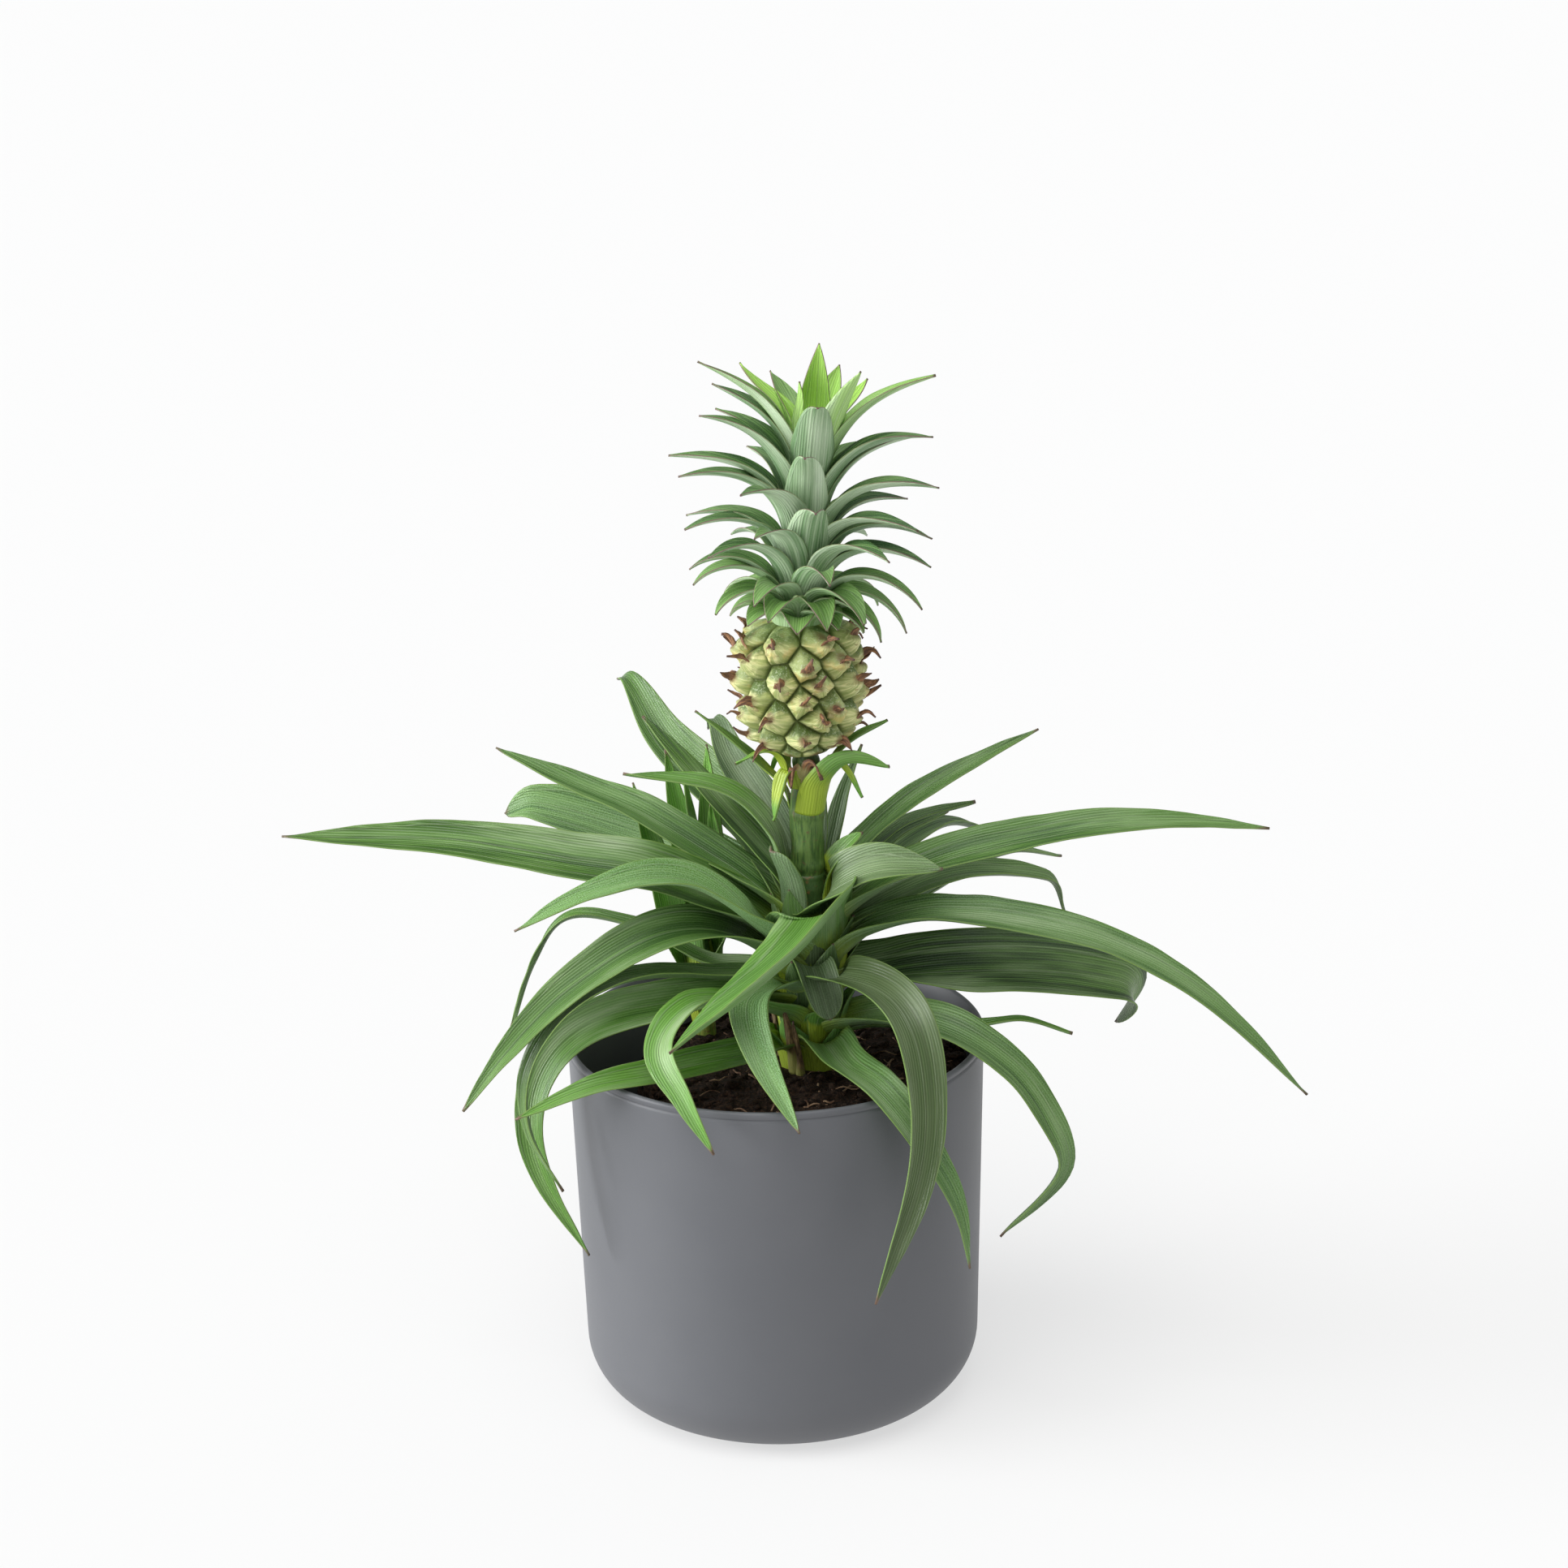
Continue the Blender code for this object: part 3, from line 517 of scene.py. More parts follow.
leaf_top = leaf_finish("leaf_top", (0.008, 0.034, 0.005), (0.105, 0.24, 0.026), (0.39, 0.48, 0.30), 0.68, 0.28)
leaf_under = leaf_finish("leaf_under", (0.06, 0.11, 0.04), (0.165, 0.255, 0.11), (0.36, 0.43, 0.30), 0.5, 0.45)
young_top = leaf_finish("young_top", (0.045, 0.125, 0.018), (0.15, 0.33, 0.045), (0.32, 0.45, 0.20), 0.3, 0.36)
young_under = leaf_finish("young_under", (0.07, 0.16, 0.04), (0.19, 0.34, 0.10), (0.35, 0.45, 0.27), 0.3, 0.45)
leaf_margin = margin_finish("leaf_margin", (0.14, 0.24, 0.05), (0.15, 0.085, 0.06), 0.96, 0.99)
LEAF_FINISHES = [leaf_top, leaf_under, leaf_margin]
GREY_FINISHES = [leaf_under, leaf_under, leaf_margin]
YOUNG_FINISHES = [young_top, young_under, leaf_margin]

# %% [markdown]
# ## Dry finishes
# Old scales on the stem and the tips of the fruit's bracts have dried. They are brown and fibrous, paler where
# they are still attached and nearly black where they curl.


# %% Dry finishes
def dry_finish(name, pale, dry, warm):
    finish = Finish(name, Roughness=0.65)
    across, along, _ = finish.split(finish.surface_place("millimetres"))
    _, reach, _ = finish.split(finish.surface_place("share"))
    fibres = finish.noise(finish.vector(across * 1.6, along * 0.25, 0.0), 1.0, 4.0, 0.6)
    drying = reach + (fibres - 0.5) * 0.4
    brown = finish.mix(dry, warm, fibres.band(0.4, 0.7))
    colour = finish.glaze(pale, (brown, drying.band(0.10, 0.30)), ((0.06, 0.03, 0.03), drying.band(0.75, 1.1)))
    finish.feed(Base_Color=colour)
    finish.bump(fibres, 0.0008, 0.9)
    return finish


dry_scale = dry_finish("dry_scale", (0.26, 0.26, 0.06), (0.10, 0.062, 0.024), (0.25, 0.17, 0.065))
dry_tip = dry_finish("dry_tip", (0.45, 0.40, 0.17), (0.125, 0.058, 0.034), (0.42, 0.205, 0.09))
DRY_SCALE_FINISHES, DRY_TIP_FINISHES = [dry_scale] * 3, [dry_tip] * 3

# %% [markdown]
# ## How a leaf runs
# A strap leaf is a ribbon: a midrib that runs through a few points, and a blade laid across it. The midrib
# here is a smooth curve through listed points, nearly the same ones as in the design. Before it leaves,
# it climbs the stem for a stretch, because the foot of a real leaf is a sheath that clasps the stem. Each
# stretch between two points is a Bezier curve, whose handles make it meet the next one without a corner.


# %% Midribs
def smooth_route(points, density=40):
    """Closely spaced points on a smooth curve that runs through the given ones."""
    ends = [2 * points[0] - points[1]] + points + [2 * points[-1] - points[-2]]
    route = [points[0]]
    for before, start, end, after in zip(ends, ends[1:], ends[2:], ends[3:]):
        length = (end - start).length
        leave = (end - before).normalized() * length / 3
        arrive = (after - start).normalized() * length / 3
        route += interpolate_bezier(start, start + leave, end - arrive, end, density)[1:]
    return route


def even_points(route, steps):
    """Points at equal distances along a route, and the route's length."""
    reached = [0.0]
    for start, end in zip(route, route[1:]):
        reached.append(reached[-1] + (end - start).length)
    points, after = [], 1
    for i in range(steps + 1):
        wanted = reached[-1] * i / steps
        while reached[after] < wanted - 1e-9:
            after += 1
        share = (wanted - reached[after - 1]) / (reached[after] - reached[after - 1])
        points.append(route[after - 1].lerp(route[after], share))
    return points, reached[-1]


Station = namedtuple("Station", "point side up share")


def stations(route, turn, roll, sheath, steps):
    """Places along a midrib: the point, the blade's two directions, and the share of the free blade.

    The share is below 0 on the sheath, which is the first stretch of the route.
    """
    points, length = even_points(route, steps)
    side = Vector((-math.sin(turn), math.cos(turn), 0.0))
    made = []
    for i, point in enumerate(points):
        along = (points[min(i + 1, steps)] - points[max(i - 1, 0)]).normalized()
        side = (side - along * side.dot(along)).normalized()
        up = along.cross(side)
        share = min((length * i / steps - sheath) / (length - sheath), 1.0)
        angle = math.radians(roll) * smooth(2.5 * share)
        turned_side = side * math.cos(angle) + up * math.sin(angle)
        made.append(Station(point, turned_side, up * math.cos(angle) - side * math.sin(angle), share))
    return made, length


# %% [markdown]
# ## How a blade is made
# `create_grid` gives a flat sheet. Each row of it is moved to a place on the midrib, where it bends into a
# channel: a tight one where the leaf clasps the stem, a shallow one further out. Slow noise lifts the margins
# a little, since no leaf is regular. Solidify then gives the sheet its thickness and a separate finish for
# the underside and the rim.

# %% Blades
ACROSS = 14
TIP_WIDTH = 0.3 * MM
APART = 31, 17  # millimetres that set one leaf's lines apart from the next leaf's


def layers_of(bm):
    """The blade's layers: two UV maps, its tone, and the weight that thins its edges."""
    maps, tones = bm.loops.layers.uv, bm.verts.layers.float_vector
    millimetres = maps.get("millimetres") or maps.new("millimetres")
    shares = maps.get("share") or maps.new("share")
    return millimetres, shares, tones.get("tone") or tones.new("tone"), bm.verts.layers.deform.verify()


def lay_blade(bm, places, length, half_width, channel, wave, seed, tone, crease=0.10, across_faces=ACROSS):
    """Adds one blade to the bmesh. half_width and channel are functions of the share of the free blade."""
    rows = len(places) - 1
    millimetres, shares, tones, weights = layers_of(bm)
    made = bmesh.ops.create_grid(bm, x_segments=across_faces, y_segments=rows, size=1.0)["verts"]
    flat = {vert: vert.co.copy() for vert in made}
    for face in {f for v in made for f in v.link_faces}:
        for loop in face.loops:
            across, along = flat[loop.vert].x, (flat[loop.vert].y + 1) / 2
            place = places[round(along * rows)]
            half = half_width(place.share)
            loop[shares].uv = (across, place.share)
            loop[millimetres].uv = (across * half / MM + APART[0] * seed, along * length / MM + APART[1] * seed)
    for vert, start in flat.items():
        across, place = -start.x, places[round((start.y + 1) / 2 * rows)]
        half, bend = half_width(place.share), max(channel(place.share), 0.01)
        angle = across * bend
        lift = (1 - math.cos(angle)) / bend + crease * (math.sqrt(across * across + 0.004) - 0.063)
        reached = place.share * length / MM
        ripple = noise.noise(Vector((reached * 0.035, across * 0.8, 13.7 * seed)))
        flutter = noise.noise(Vector((reached * 0.09, across * 1.5, 5.1 * seed)))
        move = wave * smooth(place.share * 4) * (ripple * 0.8 + flutter * 0.5 * across * across)
        vert.co = place.point + place.side * half * math.sin(angle) / bend + place.up * (half * lift + move)
        vert[tones] = Vector(tone)
        vert[weights][0] = 1 - 0.6 * abs(across) ** 3


def tapered(width, share, taper, ending=1.0, least=TIP_WIDTH):
    """Half of a blade's width, which falls from the full width to almost nothing at its tip."""
    return max(width * (1 - max(share, 0.0) ** taper) ** ending, least) / 2


def finish_blades(name, bm, nodes, thickness, finishes):
    """The sheet turned its upper face out, as a piece with a thickness."""
    piece = add_piece(name, bm, finishes, nodes)
    piece.vertex_groups.new(name="thick")
    shell = piece.modifiers.new("Solidify", "SOLIDIFY")
    shell.thickness = thickness
    shell.offset = 0.0
    shell.vertex_group = "thick"
    shell.thickness_vertex_group = 0.25
    shell.material_offset = 1
    shell.material_offset_rim = 2
    return piece


# %% [markdown]
# ## The rosette
# Each row is one leaf: the direction it leaves in, its height on the stem, its width, the roll of its face,
# and the points of its midrib, in millimetres from the stem's axis at the level of the soil. The last three
# numbers are its tone: fresh, scurfy, olive. A leaf with a number after them is blunt: it ends wide.

# %% The rosette's table
Leaf = namedtuple("Leaf", "turn rise width roll midrib tone blunt", defaults=[0])
TONE = (0.1, 0.0, 0.2)
ROSETTE = [Leaf(*row) for row in [
    (175, 42, 23, -30, [(-46, -4, 67), (-81, -1, 74), (-121, 6, 79), (-174, 12, 80)], (0.2, 0.0, 0.0)),
    (160, 53, 17, -25, [(-52, 21, 80), (-78, 30, 90), (-104, 38, 101)], (0.3, 0.25, 0.0)),
    (223, 38, 20, -38, [(-18, -13, 54), (-41, -16, 71), (-67, -24, 71), (-95, -31, 61)], (0.6, 0.9, 0.0)),
    (202, 33, 20, -28, [(-27, -10, 50), (-50, -20, 53), (-78, -32, 40), (-99, -41, 22), (-113, -46, 5)],
     (0.25, 0.15, 0.3)),
    (200, 28, 13, 0, [(-34, -12, 36), (-60, -26, 41), (-80, -36, 33), (-92, -42, 15), (-92, -44, -4),
     (-82, -46, -24)], (0.25, 0.2, 0.5)),
    (197, 23, 17, -50, [(-56, -16, 27), (-79, -22, 20), (-91, -26, 3), (-91, -32, -19), (-75, -38, -51)],
     (0.4, 0.1, 0.0)),
    (228, 17, 16, 0, [(-20, -20, 28), (-37, -36, 36), (-48, -51, 27), (-41, -65, 15), (-32, -75, 1)],
     (0.8, 0.1, 0.0)),
    (214, 7, 14, -25, [(-25, -19, 10), (-52, -38, 12.5), (-72, -46, 12), (-96, -51, 4)], (0.7, 0.0, 0.0)),
    (240, 28, 16, 0, [(-13, -24, 36), (-20, -41, 37), (-17, -58, 27), (-5, -76, 8)], (0.55, 1.0, 0.0)),
    (285, 42, 31, 25, [(3, -16, 56), (5, -27, 62), (-10, -48, 53), (-45, -71, 34)], (0.6, 0.1, 0.2)),
    (268, 34, 14, 20, [(1, -16, 40), (3, -23, 37), (6, -27, 26)], (0.0, 0.2, 0.6), 0.6),
    (300, 27, 17, 10, [(11, -31, 42), (29, -56, 40), (35, -68, 16), (32, -76, -10), (18, -80, -50)],
     (0.05, 0.0, 1.0)),
    (290, 10, 16, 0, [(11, -41, 15), (21, -56, 13), (33, -62, -2), (44, -62, -23), (49, -60, -48)],
     (0.35, 0.4, 0.1)),
    (335, 13, 19, 10, [(38, -21, 21), (63, -31, 9), (76, -36, -9), (80, -38, -24), (60, -41, -46)],
     (0.2, 0.3, 0.3)),
    (3, 26, 26, 52, [(30, 5, 29), (67, 9, 29), (103, 14, 22), (109, 18, 16), (104, 24, 2)],
     (0.0, 0.1, 0.2), 0.5),
    (352, 36, 18, 20, [(20, -3, 47), (44, -6, 53), (93, -14, 46), (128, -18, 27), (163, -21, -7)],
     (0.25, 0.35, 0.2)),
    (1, 48, 18, 30, [(34, 2, 66), (83, 6, 77), (118, 8, 79), (153, 9, 76)], (0.25, 0.15, 0.0)),
    (28, 42, 16, 20, [(43, 26, 54), (82, 46, 47), (89, 52, 31)], (0.1, 0.2, 0.4)),
    (40, 34, 14, 0, [(40, 34, 47), (70, 62, 51), (90, 78, 43)], (0.1, 0.4, 0.3)),
    (27, 57, 9, 10, [(15, 9, 66), (33, 20, 77), (57, 32, 80)], (0.1, 0.3, 0.3)),
    (38, 52, 8, 10, [(28, 20, 71), (48, 34, 76)], (0.1, 0.2, 0.4)),
    (20, 61, 12, 20, [(20, 8, 76), (38, 16, 88), (78, 29, 106)], (0.25, 0.2, 0.1)),
    (79, 61, 8, 0, [(4, 11, 80), (5, 16, 99)], TONE),
    (55, 58, 8, 0, [(12, 18, 87), (19, 29, 102)], TONE),
    (176, 64, 12, -20, [(-13, 2, 81), (-27, 4, 95), (-60, 6, 101)], (0.6, 0.0, 0.0)),
    (140, 61, 12, -10, [(-17, 11, 74), (-33, 19, 91), (-54, 31, 113)], (0.1, 0.0, 0.0)),
    (122, 50, 23, -30, [(-16, 34, 71), (-47, 64, 94), (-60, 84, 110), (-65, 96, 107)], (0.2, 0.2, 0.0)),
    (100, 56, 17, 0, [(-13, 23, 80), (-25, 38, 96), (-30, 50, 105), (-33, 58, 100)], (0.0, 0.2, 0.1)),
    (125, 40, 22, -45, [(-20, 36, 50), (-46, 54, 59), (-93, 66, 71), (-105, 72, 66)], (0.2, 0.6, 0.0), 0.6),
    (163, 30, 9, 0, [(-35, 10, 33), (-60, 20, 43), (-81, 25, 44), (-93, 29, 28), (-103, 34, 1)],
     (0.4, 0.0, 0.0)),
    (356, 10, 7, 0, [(30, -2, 13), (56, -4, 13.5), (71, -4, 15), (87, -4, 10)], (0.6, 0.0, 0.0)),
    (215, 52, 15, 0, [(-8, -8, 65), (-12, -13, 80)], (0.0, 0.5, 0.3), 1),
    (320, 56, 22, 32, [(8, -13, 66), (22, -19, 75), (43, -26, 77)], (0.0, 0.2, 0.7)),
    (345, 62, 10, 30, [(8, -4, 71), (18, -6, 83)], (1.0, 0.0, 0.0), 0.3),
    (65, 28, 18, 0, [(16, 38, 44), (28, 74, 40), (36, 100, 14)], TONE),
    (95, 24, 18, 0, [(-4, 38, 38), (-8, 75, 32), (-12, 100, 6)], TONE),
    (48, 44, 16, 0, [(26, 28, 60), (46, 48, 66), (66, 70, 56)], TONE),
    (115, 16, 17, 0, [(-13, 36, 27), (-32, 72, 23), (-46, 94, 0)], TONE),
]]

# %% Grow the rosette
LEAF_THICKNESS, SHEATH, CHANNEL, WAVE = 0.75 * MM, 15.0 * MM, 0.74, 1.0 * MM
SHEATH_GAP, LEAVE_GAP = 0.6 * MM, 2.4 * MM  # from the stem to the midrib, where the sheath starts and ends
GREY_LEAVES = {11, 23, 24, 28, 32}


def stem_radius(height):
    """The stem's radius, then the stalk's, at a height above the soil."""
    if height > STEM_HEIGHT:
        return STALK_RADIUS
    return mix(STEM_BASE_RADIUS, STEM_TOP_RADIUS, height / STEM_HEIGHT)


def strap_leaf(
    name, leaf, foot, radius_at, nodes, seed, steps=72, sheath=SHEATH, base=1.2, finishes=LEAF_FINISHES
):
    """A leaf that clasps a stem at foot, then runs through the points of its midrib.

    base is its width where it leaves the stem, as a share of its full width.
    """
    turn, rise = math.radians(leaf.turn), leaf.rise * MM
    outward = level(turn)
    start = foot + outward * (radius_at(rise - sheath) + SHEATH_GAP) + UP * (rise - sheath)
    leave = foot + outward * (radius_at(rise) + LEAVE_GAP) + UP * rise
    route = smooth_route([start, leave] + [foot + Vector(p) * MM for p in leaf.midrib])
    places, length = stations(route, turn, leaf.roll, sheath, steps)

    def half_width(share):
        width = leaf.width * MM * mix(base, 1.0, smooth(share / 0.3))
        return tapered(width, share, 2.6 + 6 * leaf.blunt, 0.9 - 0.4 * leaf.blunt)

    def channel(share):
        clasp = min(half_width(share) / (radius_at(rise) + 1.5 * MM), 1.3)
        return mix(clasp, CHANNEL, smooth((share + 0.03) / 0.22))

    bm = bmesh.new()
    lay_blade(bm, places, length, half_width, channel, WAVE, seed, leaf.tone)
    return finish_blades(name, bm, nodes, LEAF_THICKNESS, finishes)


for number, leaf in enumerate(ROSETTE, start=1):
    node = f"leaf_{number:02d}"
    finishes = GREY_FINISHES if number in GREY_LEAVES else LEAF_FINISHES
    strap_leaf(f"rosette_{node}", leaf, PLANT, stem_radius, [node], number, finishes=finishes)
print("rosette leaves:", len(ROSETTE))

# %% [markdown]
# ## The side shoot
# A young plant grows from the foot of the old one. Its leaves are made in the same way, narrower and nearly
# upright, on a stem of their own.

# %% Grow the side shoot
SHOOT_TONE = (0.9, 0.2, 0.0)
SHOOT = [
    Leaf(180, 14, 13, -70, [(-12, 1, 50), (-22, 2, 90)], SHOOT_TONE),
    Leaf(120, 19, 13, -20, [(-5, 7, 60), (-11, 10, 99)], SHOOT_TONE),
    Leaf(350, 24, 13, 70, [(7, -3, 55), (4, -6, 85)], SHOOT_TONE),
    Leaf(215, 28, 13, -50, [(-3, 1, 60), (-5, 3, 93)], SHOOT_TONE),
    Leaf(40, 31, 12, 40, [(4, 4, 62), (3, 5, 102)], SHOOT_TONE),
]
for number, leaf in enumerate(SHOOT, start=1):
    nodes = [f"side_shoot_leaf_{number:02d}"]
    strap_leaf(f"young_leaf_{number:02d}", leaf, SHOOT_FOOT, lambda rise: SHOOT_RADIUS, nodes,
               50 + number, 48, 10 * MM, 0.9, YOUNG_FINISHES)
print("side shoot leaves:", len(SHOOT))

# %% [markdown]
# ## Stems
# The main stem hides behind the leaves' feet and shows only as a yellow-green core. The stalk that carries the
# fruit is greener, with brown streaks and rings where bracts fell.


# %% Stem finish and stems
STEM_GREEN = (0.045, 0.10, 0.022)


def stem_finish(name, green, pale, stain, yellow_to=None):
    """Streaked and spotted skin. With yellow_to, a height in millimetres, it is deep green above that."""
    finish = Finish(name, Roughness=0.5)
    x, y, z = finish.split(finish.object_place())
    streaks = finish.noise(finish.vector(x * 1.2, y * 1.2, z * 0.12), 1.0, 4.0, 0.6)
    spots = finish.noise(finish.vector(x, y, z), 0.55, 4.0, 0.65)
    colour = finish.mix(green, pale, streaks.band(0.35, 0.7))
    if yellow_to:
        colour = finish.mix(STEM_GREEN, colour, z.band(yellow_to, yellow_to - 14))
    finish.feed(Base_Color=finish.mix(colour, stain, spots.band(0.56, 0.70) * 0.8))
    finish.bump(streaks + spots * 0.6, 0.0005, 0.6)
    return finish


yellow_to = SOIL_TOP / MM + 30
stem_skin = stem_finish("stem_skin", (0.17, 0.27, 0.04), (0.40, 0.44, 0.09), (0.22, 0.10, 0.035), yellow_to)
stalk_skin = stem_finish("stalk_skin", (0.040, 0.095, 0.018), (0.13, 0.22, 0.050), (0.13, 0.075, 0.035))


def ringed_stem(name, node, low, high, radius_at, foot, swell, rings, finish):
    """A round stem with a slight swelling at each ring."""
    steps = 60
    profile = [(0.0, low)]
    for i in range(steps + 1):
        share = i / steps
        ring = swell * max(0.0, math.sin(share * rings * math.pi)) ** 6
        profile.append((radius_at(share) + ring, mix(low, high, share)))
    profile.append((0.0, high))
    bm = turned(profile, 40, (foot.x, foot.y, 0.0))
    for vert in bm.verts:
        out = Vector((vert.co.x - foot.x, vert.co.y - foot.y, 0.0))
        vert.co += out * 0.1 * noise.noise(vert.co / MM * 0.14)
    return add_piece(name, bm, [finish], [node], recalculate=True)


ringed_stem("main_stem", "stem", stem_low.z, stem_high.z,
            lambda share: mix(STEM_BASE_RADIUS, STEM_TOP_RADIUS, share) - 0.3 * MM,
            PLANT, 0.5 * MM, 9, stem_skin)
ringed_stem("fruit_stalk", "peduncle", stalk_low.z - 2 * MM, stalk_high.z + 6 * MM,
            lambda share: STALK_RADIUS * (1.1 - 0.35 * smooth((share - 0.55) / 0.45)),
            PLANT, 0.5 * MM, 5, stalk_skin)
ringed_stem("young_stem", "side_shoot_stem", shoot_low.z, shoot_high.z,
            lambda share: SHOOT_RADIUS * mix(1.0, 0.55, share), SHOOT_FOOT, 0.3 * MM, 6, stem_skin)

# %% [markdown]
# ## Old leaf feet
# Short feet of lost leaves still clothe the main stem. They are made like the leaves, but end soon after they
# let go of the stem. Each one stands a golden angle on from the last, as leaves on a stem do.

# %% Clothe the stem
GOLDEN_ANGLE, FEET = 137.5, 26
chance = random.Random(21)
bm = bmesh.new()
for number in range(FEET):
    turn = math.radians(number * GOLDEN_ANGLE + 40)
    rise = mix(-3, 44, number / (FEET - 1)) * MM
    radius, length = stem_radius(max(rise, 0.0)), chance.uniform(14, 24) * MM
    steps_out = [
        (0.8 * MM, -7 * MM), (2.0 * MM, 2 * MM), (4.2 * MM, 0.6 * length), (chance.uniform(5, 11) * MM, length)
    ]
    points = [PLANT + level(turn) * (radius + out) + UP * (rise + above) for out, above in steps_out]
    places, reach = stations(smooth_route(points, 16), turn, 0, 8 * MM, 24)
    width = chance.uniform(17, 22) * MM
    tone = (1.0 if rise < 12 * MM else 0.5 * chance.random(), 0.1, chance.random())
    lay_blade(bm, places, reach, lambda share: tapered(width, share, 1.5),
              lambda share: mix(1.0, 0.6, smooth(share)), 0.6 * MM, 200 + number, tone, across_faces=10)
finish_blades("old_leaf_feet", bm, [], 0.7 * MM, LEAF_FINISHES)
print("old leaf feet:", FEET)

# %% [markdown]
# ## Papery scales
# The oldest leaf feet have dried to brown paper that stands off the stem. Each row below is one: its direction,
# its height and its width. They are blades again, thinner and more twisted than a live leaf.

# %% Add the scales
SCALES = [(240, 8, 6), (251, 3, 4), (60, 6, 7), (150, 9, 8), (110, 3, 6)]
bm = bmesh.new()
for number, (turn, rise, width) in enumerate(SCALES):
    turn, rise = math.radians(turn), rise * MM
    low = PLANT + level(turn) * (stem_radius(rise) + 4.5 * MM) + UP * (rise - 8 * MM)
    points = [low, low + level(turn) * 1.5 * MM + UP * 12 * MM, low + level(turn) * 6 * MM + UP * 27 * MM]
    places, length = stations(smooth_route(points, 16), turn, 40 * math.sin(5.0 * number), 4 * MM, 24)
    lay_blade(bm, places, length, lambda share: tapered(width * MM, share, 1.6), lambda share: 0.9, 1.6 * MM,
              300 + number, TONE, across_faces=8)
finish_blades("papery_scales", bm, [], 0.35 * MM, DRY_SCALE_FINISHES)
print("papery scales:", len(SCALES))

# %% [markdown]
# ## Bracts on the stalk
# Bracts are the small leaves under the fruit. The biggest wraps the stalk like a collar, bright yellow at its
# foot, and turns green as it bends away. Smaller ones stand round it, and two have dried. They are short strap
# leaves, with a foot that stays yellow for longer.

# %% Grow the bracts
COLLAR_BASE, BRACT_BASE, SMALL_BASE, COLLAR_FOOT = 1.15, 0.75, 0.8, (0.42, 0.12)
bract_top = leaf_finish(
    "bract_top", (0.05, 0.12, 0.02), (0.14, 0.28, 0.05), (0.27, 0.36, 0.17), 0.2, 0.4, COLLAR_FOOT
)
bract_under = leaf_finish(
    "bract_under", (0.07, 0.15, 0.04), (0.17, 0.29, 0.09), (0.3, 0.38, 0.2), 0.3, 0.5, COLLAR_FOOT
)
BRACT_FINISHES = [bract_top, bract_under, leaf_margin]
BRACTS = [
    Leaf(300, 95, 12, 0, [(5, -8, 101), (13, -10, 108.5), (27, -8, 106)], (0.8, 0.0, 0.0)),
    Leaf(225, 104, 8, 0, [(-6.5, -6, 103.5), (-11, -7, 88)], (1.0, 0.0, 0.0)),
    Leaf(165, 96, 5, 0, [(-13, 4, 102), (-22, 6, 110), (-36, 9, 121)], (0.1, 0.0, 0.0)),
]
SMALL_BRACTS = [
    Leaf(200, 103, 6, 0, [(-12, -5, 111), (-23, -7, 108)], (1.0, 0.0, 0.0)),
    Leaf(330, 102, 6, 0, [(9.5, -4, 107), (18, -6, 95)], (1.0, 0.0, 0.0)),
    Leaf(10, 104, 4, 0, [(15, 2, 112), (27, 4, 118)], (0.5, 0.0, 0.0)),
    Leaf(150, 103, 5, 0, [(-8, 5, 107), (-12, 7, 100)], (0.8, 0.0, 0.0)),
]
DRY_BRACTS = [
    Leaf(275, 104, 6, 0, [(2, -8, 107), (5, -11, 103)], TONE),
    Leaf(245, 105, 4, 30, [(-4, -8, 106), (-5, -10, 100)], TONE),
]


def stalk_bract(name, leaf, nodes, seed, steps, sheath, base, finishes):
    strap_leaf(name, leaf, PLANT, stem_radius, nodes, seed, steps, sheath, base, finishes)


for number, leaf in enumerate(BRACTS, start=1):
    node, base = f"bract_{number:02d}", COLLAR_BASE if number == 1 else BRACT_BASE
    stalk_bract(f"stalk_{node}", leaf, [node], 70 + number, 44, 6 * MM, base, BRACT_FINISHES)
for number, leaf in enumerate(SMALL_BRACTS, start=1):
    stalk_bract(f"small_bract_{number}", leaf, [], 80 + number, 32, 5 * MM, SMALL_BASE, BRACT_FINISHES)
for number, leaf in enumerate(DRY_BRACTS, start=1):
    stalk_bract(f"dry_bract_{number}", leaf, [], 90 + number, 24, 5 * MM, SMALL_BASE, DRY_TIP_FINISHES)
print("bracts:", len(BRACTS) + len(SMALL_BRACTS) + len(DRY_BRACTS))

# %% [markdown]
# ## The fruit's finish
# Each fruitlet has two halves. The lower one is the foot of a bract, cream with streaks that fan out from its
# tip; the upper one is green, speckled with white scurf. Between fruitlets lies a dark olive groove. The mesh
# carries an `eye` attribute with three numbers: how deep in the groove a point is, how high it lies in its
# fruitlet, and a chance number for the fruitlet. A `fan` map runs round and away from the bract's tip.

# %% Fruit finish
SCATTER = (0.002, 0.002, 0.001)
fruit_skin = Finish("fruit_skin", Specular_IOR_Level=0.5, Subsurface_Weight=0.08, Subsurface_Radius=SCATTER)
place = fruit_skin.object_place()
groove, high, luck = fruit_skin.split(fruit_skin.attribute("eye"))
round_tip, from_tip, _ = fruit_skin.split(fruit_skin.attribute("fan"))
streaks = fruit_skin.noise(fruit_skin.vector(round_tip * 6.0, from_tip * 0.12, luck * 40), 1.0, 3.0, 0.6)
scurf = fruit_skin.noise(place, 1.5, 3.0, 0.7)
blotch = fruit_skin.noise(place, 0.20, 3.0)
green = fruit_skin.glaze(
    (0.105, 0.165, 0.035),
    ((0.38, 0.45, 0.17), (blotch + luck * 0.15).band(0.38, 0.66)),
    ((0.58, 0.64, 0.44), scurf.band(0.52, 0.66) * 0.6),
)
